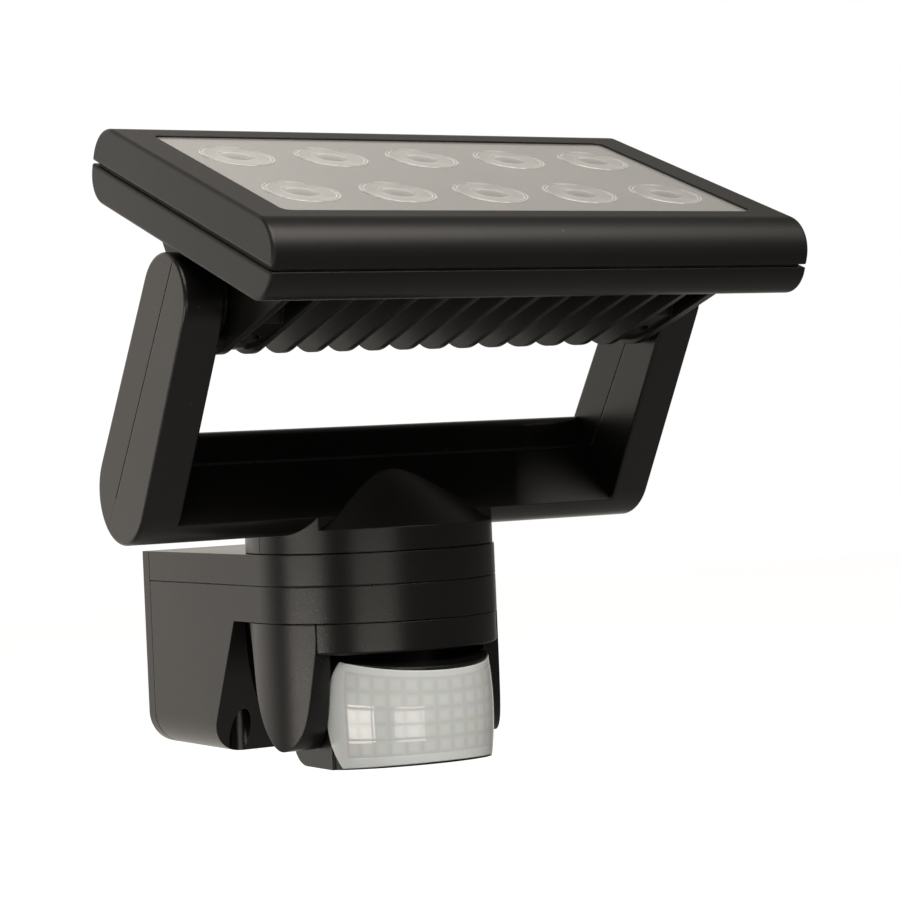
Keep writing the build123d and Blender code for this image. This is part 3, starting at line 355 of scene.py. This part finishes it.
def powder_coat(name, tone, grain, edge, wear):
    """Satin powder coat on cast aluminium: orange peel, fine grain and bare-looking edges."""
    f = Finish(name, IOR=1.5)
    peel = f.noise(0.0022, 1.0)
    fine = f.noise(grain, 1.0, 0.6)
    cloud = f.noise(0.05, 2.0)
    rounded, edges = f.soft_edge(edge)
    dust = f.between(f.spots(0.013), 0.015, 0.024, 1.0, 0.0)
    deep = [0.85 * c for c in tone]
    rubbed = [0.07, 0.065, 0.06]
    body = f.mix(f.between(cloud, 0.3, 0.7), deep, tone)
    body = f.mix(wear * edges * f.between(f.noise(0.005, 2.0), 0.3, 0.7), body, rubbed)
    body = f.mix(dust * 0.5, body, (0.36, 0.34, 0.32))
    f.set("Base Color", body)
    f.set("Roughness", 0.43 - 0.08 * edges + 0.08 * (cloud - 0.5) + 0.08 * (fine - 0.5) + 0.2 * dust)
    f.set("Normal", f.bump(fine + 1.6 * peel, 0.03 * grain, rounded))
    return f.material


def soft_rubber(name, tone):
    """Matt sealing rubber with a pale bloom."""
    f = Finish(name)
    bloom = f.noise(0.006, 4.0)
    body = f.mix(f.between(bloom, 0.45, 0.75), tone, (0.055, 0.054, 0.052))
    f.set("Base Color", body)
    f.set("Roughness", 0.78 + 0.12 * (bloom - 0.5))
    f.set("Normal", f.bump(f.noise(0.0006, 3.0), 0.00004))
    return f.material


def turned_steel(name, tone):
    """Zinc-plated steel: fine brush lines, a mottled plating and brighter edges."""
    f = Finish(name, Metallic=1.0)
    spread = f.add("ShaderNodeVectorMath", {"operation": "MULTIPLY"}, [f.place(), (1.0, 14.0, 14.0)])
    lines = f.noise(0.002, 3.0, 0.6, spread)
    mottle = f.noise(0.0035, 3.0)
    rounded, edges = f.soft_edge(0.00025)
    bright = [min(1.0, 1.18 * c) for c in tone]
    body = f.mix(f.between(mottle, 0.35, 0.65), [0.80 * c for c in tone], bright)
    body = f.mix(0.5 * edges, body, (0.80, 0.80, 0.79))
    f.set("Base Color", body)
    f.set("Roughness", 0.28 + 0.16 * lines + 0.12 * (mottle - 0.5))
    f.set("Normal", f.bump(lines, 0.00002, rounded))
    return f.material


def bearing_acetal(name, tone):
    """Waxy bearing plastic with turning marks."""
    f = Finish(name, Subsurface_Weight=0.1, Subsurface_Scale=0.002)
    haze = f.noise(0.008, 3.0)
    marks = f.noise(0.0009, 2.0)
    f.set("Base Color", f.mix(haze, [0.88 * c for c in tone], tone))
    f.set("Roughness", 0.36 + 0.14 * (haze - 0.5))
    f.set("Normal", f.bump(marks, 0.00002, f.soft_edge(0.0003)[0]))
    return f.material


def circuit_green(name, tone):
    """Solder mask with copper tracks just showing and rows of small plated holes."""
    f = Finish(name, Coat_Weight=0.4, Coat_Roughness=0.12)
    x, z = (f.add("ShaderNodeSeparateXYZ", {}, [f.place()], axis) for axis in ("X", "Z"))
    wander = 0.004 * f.noise(0.02, 1.0)
    wave = f.add("ShaderNodeMath", {"operation": "PINGPONG"}, [x + z * 0.5 + wander, 0.0016])
    lane = abs(wave - 0.0008)
    track = f.between(lane, 0.00025, 0.00035, 1.0, 0.0) * f.between(f.noise(0.012), 0.45, 0.5)
    pads = f.between(f.spots(0.0042), 0.12, 0.15, 1.0, 0.0)
    body = f.mix(track, tone, [min(1.0, 2.1 * c) for c in tone])
    f.set("Base Color", f.mix(pads, body, (0.62, 0.60, 0.55)))
    f.set("Metallic", 0.9 * pads)
    f.set("Roughness", 0.32 - 0.06 * track + 0.05 * pads)
    f.set("Normal", f.bump(track + pads, 0.00004))
    return f.material


def painted_white(name, tone):
    """White reflective mask with a faint mottle."""
    f = Finish(name)
    mottle = f.noise(0.007, 3.0)
    f.set("Base Color", f.mix(mottle, [0.90 * c for c in tone], tone))
    f.set("Roughness", 0.30 + 0.12 * (mottle - 0.5))
    f.set("Normal", f.bump(f.noise(0.0005), 0.00001, f.soft_edge(0.0002)[0]))
    return f.material


def phosphor(name, tone):
    """Yellow phosphor under a glossy silicone dome."""
    glow = {"Subsurface_Weight": 0.2, "Subsurface_Scale": 0.0005}
    f = Finish(name, Coat_Weight=1.0, Coat_Roughness=0.05, **glow)
    grain = f.noise(0.0002, 3.0)
    f.set("Base Color", f.mix(grain, [0.75 * c for c in tone], tone))
    f.set("Roughness", 0.35 + 0.2 * (grain - 0.5))
    f.set("Normal", f.bump(grain, 0.00001))
    return f.material


def moulded_case(name, tone, gloss):
    """Small moulded case: slight sink marks, fine grain and softened edges."""
    f = Finish(name)
    sink = f.noise(0.006, 2.0)
    fine = f.noise(0.0004, 2.0)
    rounded, edges = f.soft_edge(0.0003)
    body = f.mix(sink, [0.85 * c for c in tone], tone)
    body = f.mix(0.4 * edges, body, [min(1.0, 0.08 + 1.4 * c) for c in tone])
    f.set("Base Color", body)
    f.set("Roughness", gloss + 0.12 * (fine - 0.5) - 0.05 * edges)
    f.set("Normal", f.bump(fine, 0.00002, rounded))
    return f.material


def plated_can(name, tone):
    """Drawn nickel can with faint drawing lines."""
    f = Finish(name, Metallic=1.0)
    lines = f.noise(0.0004, 3.0)
    f.set("Base Color", f.mix(lines, [0.88 * c for c in tone], tone))
    f.set("Roughness", 0.14 + 0.12 * lines)
    f.set("Normal", f.bump(lines, 0.00001, f.soft_edge(0.0003)[0]))
    return f.material


def clear_plate(name, tone):
    """Clear plate over a white board: pale, faintly clouded, glossy, with a painted highlight along its edges."""
    f = Finish(name, IOR=1.49, Coat_Roughness=0.03, Subsurface_Weight=0.15, Subsurface_Scale=0.004)
    cloud = f.noise(0.035, 2.0)
    smear = f.noise(0.009, 4.0)
    rounded, edges = f.soft_edge(0.0005)
    bright = [min(1.0, 1.05 * c) for c in tone]
    body = f.mix(f.between(cloud, 0.3, 0.7), [0.94 * c for c in tone], bright)
    # Near-white colour on the edges is a painted highlight.
    f.set("Base Color", f.mix(0.8 * edges, body, (0.88, 0.87, 0.85)))
    f.set("Coat Weight", 0.5 + 0.4 * edges)
    f.set("Roughness", 0.20 + 0.10 * (smear - 0.5) - 0.08 * edges)
    f.set("Normal", f.bump(smear, 0.00001, rounded))
    return f.material


def optic_glass(name, tone, dome):
    """Round optic: painted highlights on the double rim and the neck, painted reflections streaked over the cone,
    and a darker middle. U is radius and V angle.
    """
    f = Finish(name, IOR=1.49, Coat_Weight=1.0, Coat_Roughness=0.04)
    radius, turn = f.map()
    # Masks of the two rims and the neck, where near-white colour is painted as a highlight.
    rim = f.between(abs(radius - 0.975), 0.006, 0.022, 1.0, 0.0)
    inner = f.between(abs(radius - 0.885), 0.006, 0.022, 1.0, 0.0)
    neck_highlight = f.between(abs(radius - 0.52), 0.010, 0.040, 1.0, 0.0)
    middle = f.between(radius, 0.24, 0.34, 1.0, 0.0)
    spokes = f.add("ShaderNodeMath", {"operation": "SINE"}, [turn * 25.13])
    swirl = f.add("ShaderNodeCombineXYZ", {}, [turn * 9.0, radius * 1.6, 0.0])
    # Lighter streaks over the cone are painted reflections.
    painted_streaks = f.between(f.noise(0.9, 2.0, 0.5, swirl), 0.44, 0.60)
    body = f.mix(0.50 * painted_streaks, [1.02 * c for c in tone], [min(1.0, 1.55 * c) for c in tone])
    body = f.mix(0.06 * spokes + 0.06, body, (0.78, 0.77, 0.74))
    body = f.mix(middle * 0.75, body, dome)
    lines = f.add("ShaderNodeMath", {"operation": "MAXIMUM"}, [rim, inner])
    highlight_breaks = f.between(f.noise(0.5, 2.0, 0.5, swirl), 0.42, 0.58, 0.25, 0.85)
    # Painted highlight on both rims, broken up by noise.
    body = f.mix(lines * highlight_breaks, body, (0.86, 0.86, 0.84))
    # Painted highlight on the neck ring.
    f.set("Base Color", f.mix(neck_highlight * highlight_breaks * 0.25, body, (0.80, 0.80, 0.78)))
    f.set("Roughness", 0.12 + 0.08 * painted_streaks - 0.04 * lines)
    f.set("Normal", f.bump(lines + 0.3 * neck_highlight, 0.00003))
    return f.material


def milky_facets(name, tone):
    """Milky lens: a faint grid of facets, with painted shade in the grooves between them, and a plain margin. U
    counts columns, V rows.
    """
    milk = {"Subsurface_Weight": 0.25, "Subsurface_Scale": 0.003}
    f = Finish(name, IOR=1.5, Coat_Weight=1.0, Coat_Roughness=0.04, **milk)
    column, row = f.map()
    inside = f.between(abs(column), 6.95, 7.05, 1.0, 0.0)
    inside = inside * f.between(abs(row - 2.5), 2.48, 2.54, 1.0, 0.0)
    across = f.add("ShaderNodeMath", {"operation": "FRACT"}, [column + 20.0])
    down = f.add("ShaderNodeMath", {"operation": "FRACT"}, [row + 20.0])
    edges = [0.5 - abs(across - 0.5), 0.5 - abs(down - 0.5)]
    # Darker colour along the grooves between facets is painted shade.
    groove_shade = f.add("ShaderNodeMath", {"operation": "MINIMUM"}, edges)
    groove_shade = f.between(groove_shade, 0.02, 0.30, 1.0, 0.0)
    cell = f.add("ShaderNodeCombineXYZ", {}, [column + 20.0 - across, row + 20.0 - down, 0.0])
    shade = f.add("ShaderNodeTexWhiteNoise", {"noise_dimensions": "3D"}, [cell], "Value")
    ring = ((across - 0.5) ** 2.0 + (down - 0.35) ** 2.0) ** 0.5
    ring = f.add("ShaderNodeMath", {"operation": "SINE"}, [ring * 75.0])
    body = f.mix(inside * (0.30 + 0.25 * shade), tone, [0.84 * c for c in tone])
    body = f.mix(inside * groove_shade * 0.45, body, [0.70 * c for c in tone])
    f.set("Base Color", body)
    f.set("Roughness", 0.24 + 0.05 * inside + 0.06 * (f.noise(0.01) - 0.5))
    f.set("Normal", f.bump(inside * ring, 0.000004))
    return f.material


# ---------------------------------------------------------------- shapes
def surface(name, points, uv, wrap=False):
    """A mesh from a grid of points with its UV grid; wrap joins the last column to the first."""
    rows, columns = points.shape[:2]
    across = np.arange(columns if wrap else columns - 1)
    ahead = (across + 1) % columns
    start = np.arange(rows - 1)[:, None] * columns
    above = start + columns
    faces = np.stack([start + across, start + ahead, above + ahead, above + across], -1)
    faces = faces.reshape(-1, 4)
    mesh = bpy.data.meshes.new(name)
    mesh.from_pydata(points.reshape(-1, 3).tolist(), [], faces.tolist())
    layer = mesh.uv_layers.new(name="piece")
    flat = uv.reshape(-1, 2)[faces].copy()
    if wrap:
        seam = np.tile(across == columns - 1, rows - 1)
        flat[seam, 1, 1] += 1.0
        flat[seam, 2, 1] += 1.0
    layer.data.foreach_set("uv", flat.reshape(-1).astype(np.float32))
    mesh.polygons.foreach_set("use_smooth", np.ones(len(faces), bool))
    return mesh


def piece(name, mesh, material, body):
    """Closes the mesh's poles, turns its faces outwards, and puts it on a body."""
    work = bmesh.new()
    work.from_mesh(mesh)
    bmesh.ops.remove_doubles(work, verts=work.verts, dist=1e-7)
    bmesh.ops.recalc_face_normals(work, faces=work.faces)
    work.to_mesh(mesh)
    work.free()
    mesh.materials.append(material)
    made = bpy.data.objects.new(name, mesh)
    bpy.context.scene.collection.objects.link(made)
    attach(made, body)
    return made


def joined(name, meshes, material, body):
    """Several meshes as one piece."""
    work = bmesh.new()
    for mesh in meshes:
        work.from_mesh(mesh)
    whole = bpy.data.meshes.new(name)
    work.to_mesh(whole)
    work.free()
    whole.polygons.foreach_set("use_smooth", np.ones(len(whole.polygons), bool))
    return piece(name, whole, material, body)


def turned(name, profile, place, turns=64):
    """A profile of radius and height carried round an upright axis, then moved by a matrix.

    x = r cos a and y = r sin a, with a from 0 to a full turn, and z is the height.
    """
    angle = np.linspace(0.0, 2.0 * pi, turns, endpoint=False)
    r, h = profile[:, :1], profile[:, 1:]
    points = np.stack([r * np.cos(angle), r * np.sin(angle), h + 0.0 * angle], -1)
    matrix = np.array(place)
    points = points @ matrix[:3, :3].T + matrix[:3, 3]
    share = (r / r.max()) + 0.0 * angle
    uv = np.stack([share, angle / (2.0 * pi) + 0.0 * r], -1)
    return surface(name, points, uv, wrap=True)


def optic_profile(radius):
    """Closed profile of one optic's face: a low dome, a shallow cone and two raised rims.

    The height over the radius share s is a dome inside 0.4, a slope up to 0.86, and a bell at each rim.
    """
    s = np.linspace(0.0, 1.0, 72)
    dome = 0.16 * np.sqrt(np.clip(1.0 - (s / 0.40) ** 2, 0.0, 1.0))
    slope = 0.05 * np.clip((s - 0.40) / 0.46, 0.0, 1.0)
    outer = 0.12 * np.exp(-(((s - 0.975) / 0.016) ** 2))
    inner = 0.07 * np.exp(-(((s - 0.885) / 0.012) ** 2))
    rims = outer + inner
    top = (0.03 + dome + slope + rims) * MM
    top[-1] = -0.15 * MM
    face = np.stack([s * radius, top], -1)
    under = np.array([[radius, -0.2 * MM], [0.0, -0.2 * MM]])
    return np.concatenate([face, under])


def head_place(settings, x, y, z):
    """The lamp head's own frame: X along it, Y across its width, Z out of its face."""
    pivot = Vector(JOINTS["lamp_tilt"]["pos_m"])
    lean = Matrix.Rotation(settings.tilt, 4, "X")
    shift = Vector((x, y - settings.offset, z + settings.behind))
    return Matrix.Translation(pivot) @ lean @ Matrix.Translation(shift)


def sensor_sheet(s, across=300, down=110):
    """Outer face of the motion sensor's lens.

    Radius over height is the lens radius less a circular sag. Each row runs between the two side edges,
    which are arcs in side view, and each column between two slanted lines at the top and bottom.
    Both limits depend on the point, so they are found by repeating the sum four times.
    Grooves are bells cut inwards at whole numbers of columns and rows.
    """
    sizes = (s.reach, s.top, s.height, s.radius, s.bulge, s.groove)
    lens_y, drop, height, mid_radius, bulge, groove = (size / MM for size in sizes)
    centre_y, top = -lens_y, -drop
    low = top - height
    middle = (top + low) / 2.0
    half = height / 2.0 + LENS_END_MARGIN
    sag_radius = (half**2 + bulge**2) / (2.0 * bulge)
    side_radius = (LENS_SIDE_HALF**2 + LENS_SIDE_SAG**2) / (2.0 * LENS_SIDE_SAG)
    reach = mid_radius + LENS_FRONT_MARGIN
    u = np.linspace(-1.0, 1.0, across)[None, :]
    t = np.linspace(0.0, 1.0, down)[:, None]
    z = middle + (t - 0.5) * height + 0.0 * u
    for _ in range(4):
        rise = z - middle
        radius = mid_radius - sag_radius + np.sqrt(sag_radius**2 - rise**2)
        edge = LENS_SIDE_START - side_radius + np.sqrt(side_radius**2 - rise**2)
        theta = u * np.arccos(np.clip(-edge / radius, -1.0, 1.0))
        ahead = radius * np.cos(theta)
        roof = top + LENS_LIP - ahead * LENS_ROOF_DROP / reach
        ground = low + LENS_LIP + ahead * LENS_FLOOR_RISE / reach
        z = ground + t * (roof - ground)
    column = theta / s.step
    row = (1.0 - t - FACET_TOP) / FACET_ROW + 0.0 * u
    half_rows = FACET_ROWS / 2.0
    inside = (np.abs(column) < FACET_COLUMNS + 0.3) & (np.abs(row - half_rows) < half_rows + 0.2)
    near_column = np.abs(column - np.round(column)) * s.step * mid_radius
    near_row = np.abs(row - np.round(row)) * FACET_ROW_HEIGHT
    cut = np.exp(-((near_column / GROOVE_WIDTH) ** 2)) + np.exp(-((near_row / GROOVE_WIDTH) ** 2))
    radius = radius - groove * cut * inside
    points = np.stack([radius * np.sin(theta), centre_y - radius * np.cos(theta), z], -1) * MM
    return surface("sensor_lens_facets", points, np.stack([column, row], -1))


# ---------------------------------------------------------------- operators
def dress(slot, material):
    """Gives every CAD node of one slot its finish."""
    for node, name in SLOT_OF.items():
        if name == slot:
            mesh_object = frame["nodes"][node]
            mesh_object.data.materials.clear()
            mesh_object.data.materials.append(material)


class FLOODLIGHT_OT_housings(bpy.types.Operator):
    """Gives the wall box, yoke and sensor housings their grained black plastic"""

    bl_idname = "floodlight.housings"
    bl_label = "Housings"

    def execute(self, context):
        s = context.scene.floodlight_body
        finish = moulded_black("grained black plastic", s.plastic, s.grain, s.edge, s.wear)
        dress("housing_plastic", finish)
        return {"FINISHED"}


class FLOODLIGHT_OT_lamp_head(bpy.types.Operator):
    """Gives the bezel and the finned casting their powder coat"""

    bl_idname = "floodlight.lamp_head"
    bl_label = "Lamp head"

    def execute(self, context):
        s = context.scene.floodlight_body
        dress("lamp_casting", powder_coat("black powder coat", s.casting, s.grain, s.edge, s.wear))
        return {"FINISHED"}


class FLOODLIGHT_OT_light_panel(bpy.types.Operator):
    """Finishes the clear plate and sets the faces of the round optics in it"""

    bl_idname = "floodlight.light_panel"
    bl_label = "Light panel"

    def execute(self, context):
        s = context.scene.floodlight_panel
        dress("clear_lens", clear_plate("clear plate", s.tint))
        profile = optic_profile(s.radius)
        columns = (np.arange(s.columns) - (s.columns - 1) / 2.0) * s.pitch
        rows = (-s.rows / 2.0, s.rows / 2.0)
        places = [head_place(s, x, y, s.face) for y in rows for x in columns]
        faces = [turned("optic", profile, place) for place in places]
        glass = optic_glass("moulded optic", s.tint, s.dome)
        joined("optic_faces", faces, glass, "lamp_head")
        for mesh in faces:
            bpy.data.meshes.remove(mesh)
        return {"FINISHED"}


class FLOODLIGHT_OT_sensor_lens(bpy.types.Operator):
    """Makes the motion sensor's milky lens with its grid of facets"""

    bl_idname = "floodlight.sensor_lens"
    bl_label = "Sensor lens"

    def execute(self, context):
        s = context.scene.floodlight_sensor
        finish = milky_facets("milky lens", s.milk)
        lens = piece("sensor_lens_facets", sensor_sheet(s), finish, "sensor_head")
        wall = lens.modifiers.new("wall", "SOLIDIFY")
        wall.thickness = LENS_WALL * MM
        wall.offset = -1.0
        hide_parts("fresnel_lens")
        return {"FINISHED"}


class FLOODLIGHT_OT_fittings(bpy.types.Operator):
    """Finishes the screws, shafts, bushes, seals and adjuster knobs"""

    bl_idname = "floodlight.fittings"
    bl_label = "Fittings"

    def execute(self, context):
        s = context.scene.floodlight_body
        dress("screw_steel", turned_steel("zinc plated steel", COLOUR_OF["screw_steel"]))
        dress("rubber_seal", soft_rubber("sealing rubber", COLOUR_OF["rubber_seal"]))
        dress("bush_plastic", bearing_acetal("dark acetal", s.bearing))
        dress("knob_plastic", moulded_case("grey knob plastic", COLOUR_OF["knob_plastic"], 0.42))
        return {"FINISHED"}


class FLOODLIGHT_OT_electronics(bpy.types.Operator):
    """Finishes the circuit boards and their components"""

    bl_idname = "floodlight.electronics"
    bl_label = "Electronics"

    def execute(self, context):
        dress("circuit_board", circuit_green("green circuit board", COLOUR_OF["circuit_board"]))
        dress("white_board", painted_white("white board", COLOUR_OF["white_board"]))
        dress("led_phosphor", phosphor("phosphor", COLOUR_OF["led_phosphor"]))
        case = moulded_case("black component case", COLOUR_OF["component_black"], 0.30)
        dress("component_black", case)
        dress("relay_blue", moulded_case("blue relay case", COLOUR_OF["relay_blue"], 0.28))
        dress("sensor_can", plated_can("nickel can", COLOUR_OF["sensor_can"]))
        return {"FINISHED"}


def soft_box(box, radiance, tint):
    """Hangs one soft box so that it faces the object."""
    azimuth, elevation = radians(box.azimuth), radians(box.elevation)
    way = Vector((sin(azimuth) * cos(elevation), -cos(azimuth) * cos(elevation), sin(elevation)))
    lamp = bpy.data.lights.new(box.name, "AREA")
    lamp.shape = "RECTANGLE"
    lamp.color = tint
    lamp.size, lamp.size_y = box.width, box.height
    lamp.energy = radiance * pi * box.width * box.height
    made = bpy.data.objects.new(box.name, lamp)
    made.location = Vector(LIGHT_TARGET) + way * box.distance
    made.rotation_euler = way.to_track_quat("Z", "Y").to_euler()
    bpy.context.scene.collection.objects.link(made)


class FLOODLIGHT_OT_studio(bpy.types.Operator):
    """Makes the pale floor, the studio light and the camera. The floor is seen only by the camera"""

    bl_idname = "floodlight.studio"
    bl_label = "Studio"

    def execute(self, context):
        s = context.scene.floodlight_studio
        scene = context.scene
        scene.view_settings.view_transform = "Standard"
        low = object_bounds()[0]
        rows = np.linspace(-FLOOR_HALF, FLOOR_HALF, 13)
        x, y = np.meshgrid(rows, rows)
        grid = np.stack([x, y, 0.0 * x + low.z - FLOOR_DROP], -1)
        mesh = surface("floor", grid, grid[..., :2])
        floor = bpy.data.objects.new("floor", mesh)
        scene.collection.objects.link(floor)
        f = Finish("pale floor", Roughness=0.9, Emission_Strength=0.80)
        f.set("Base Color", (*s.floor, 1.0))
        f.set("Emission Color", (1.0, 1.0, 1.0, 1.0))
        mesh.materials.append(f.material)
        floor.visible_diffuse = floor.visible_glossy = floor.visible_transmission = False
        floor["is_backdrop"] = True
        self.sky(scene, s)
        for box in SOFT_BOXES:
            soft_box(box, box.share * s.key, s.warmth)
        self.camera(scene, s)
        return {"FINISHED"}

    def sky(self, scene, s):
        """Room light: bright behind the object and dim in front of it."""
        scene.world = bpy.data.worlds.new("studio")
        scene.world.use_nodes = True
        tree = scene.world.node_tree
        ground = tree.nodes["Background"]
        way = tree.nodes.new("ShaderNodeTexCoord")
        parts = tree.nodes.new("ShaderNodeSeparateXYZ")
        ramp = tree.nodes.new("ShaderNodeMapRange")
        tree.links.new(way.outputs["Generated"], parts.inputs[0])
        tree.links.new(parts.outputs["Y"], ramp.inputs["Value"])
        ramp.interpolation_type = "SMOOTHSTEP"
        ramp.inputs["From Min"].default_value = 0.52
        ramp.inputs["From Max"].default_value = 0.88
        ramp.inputs["To Min"].default_value = s.room
        ramp.inputs["To Max"].default_value = s.backdrop
        path = tree.nodes.new("ShaderNodeLightPath")
        seen = tree.nodes.new("ShaderNodeMath")
        seen.operation = "MAXIMUM"
        below = tree.nodes.new("ShaderNodeMapRange")
        tree.links.new(parts.outputs["Z"], below.inputs["Value"])
        limits = {"From Min": -0.25, "From Max": -0.7, "To Min": 0.0, "To Max": s.ground}
        for name, value in limits.items():
            below.inputs[name].default_value = value
        lit = tree.nodes.new("ShaderNodeMath")
        lit.operation = "MAXIMUM"
        tree.links.new(ramp.outputs["Result"], lit.inputs[0])
        tree.links.new(below.outputs["Result"], lit.inputs[1])
        tree.links.new(lit.outputs[0], seen.inputs[0])
        tree.links.new(path.outputs["Is Camera Ray"], seen.inputs[1])
        tree.links.new(seen.outputs[0], ground.inputs["Strength"])
        warm = tree.nodes.new("ShaderNodeMix")
        warm.data_type = "RGBA"
        warm.inputs[6].default_value = (*s.warmth, 1.0)
        warm.inputs[7].default_value = (1.0, 1.0, 1.0, 1.0)
        tree.links.new(path.outputs["Is Camera Ray"], warm.inputs[0])
        tree.links.new(warm.outputs[2], ground.inputs["Color"])

    def camera(self, scene, s):
        lens = bpy.data.cameras.new("camera")
        lens.lens, lens.sensor_width = s.focal, 36.0
        made = bpy.data.objects.new("camera", lens)
        scene.collection.objects.link(made)
        place, target = Vector(CAMERA_PLACE), Vector(CAMERA_TARGET)
        ahead = (target - place).normalized()
        right = ahead.cross(Vector((0.0, 0.0, 1.0))).normalized()
        up = right.cross(ahead)
        roll = radians(CAMERA_ROLL)
        side = cos(roll) * right + sin(roll) * up
        head = -sin(roll) * right + cos(roll) * up
        turn = Matrix((side, head, -ahead)).transposed()
        made.matrix_world = Matrix.Translation(place) @ turn.to_4x4()
        scene.camera = made


OPERATORS = (
    FLOODLIGHT_OT_housings,
    FLOODLIGHT_OT_lamp_head,
    FLOODLIGHT_OT_light_panel,
    FLOODLIGHT_OT_sensor_lens,
    FLOODLIGHT_OT_fittings,
    FLOODLIGHT_OT_electronics,
    FLOODLIGHT_OT_studio,
)
GROUPS = {
    "floodlight_body": FloodlightBody,
    "floodlight_panel": FloodlightPanel,
    "floodlight_sensor": FloodlightSensor,
    "floodlight_studio": FloodlightStudio,
}


class FLOODLIGHT_PT_sidebar(bpy.types.Panel):
    """Lists the sizes, colours and steps of the floodlight"""

    bl_idname = "FLOODLIGHT_PT_sidebar"
    bl_label = "Floodlight"
    bl_space_type = "VIEW_3D"
    bl_region_type = "UI"
    bl_category = "Floodlight"

    def draw(self, context):
        for name, group in GROUPS.items():
            box = self.layout.box()
            box.label(text=group.__doc__)
            for key in group.__annotations__:
                box.prop(getattr(context.scene, name), key)
        for operator in OPERATORS:
            self.layout.operator(operator.bl_idname)


def register():
    for group in GROUPS.values():
        bpy.utils.register_class(group)
    for name, group in GROUPS.items():
        setattr(bpy.types.Scene, name, bpy.props.PointerProperty(type=group))
    for operator in OPERATORS:
        bpy.utils.register_class(operator)
    bpy.utils.register_class(FLOODLIGHT_PT_sidebar)


def unregister():
    bpy.utils.unregister_class(FLOODLIGHT_PT_sidebar)
    for operator in reversed(OPERATORS):
        bpy.utils.unregister_class(operator)
    for name, group in GROUPS.items():
        delattr(bpy.types.Scene, name)
        bpy.utils.unregister_class(group)


def main():
    register()
    for operator in OPERATORS:
        group, name = operator.bl_idname.split(".")
        getattr(getattr(bpy.ops, group), name)()


if __name__ == "__main__":
    main()
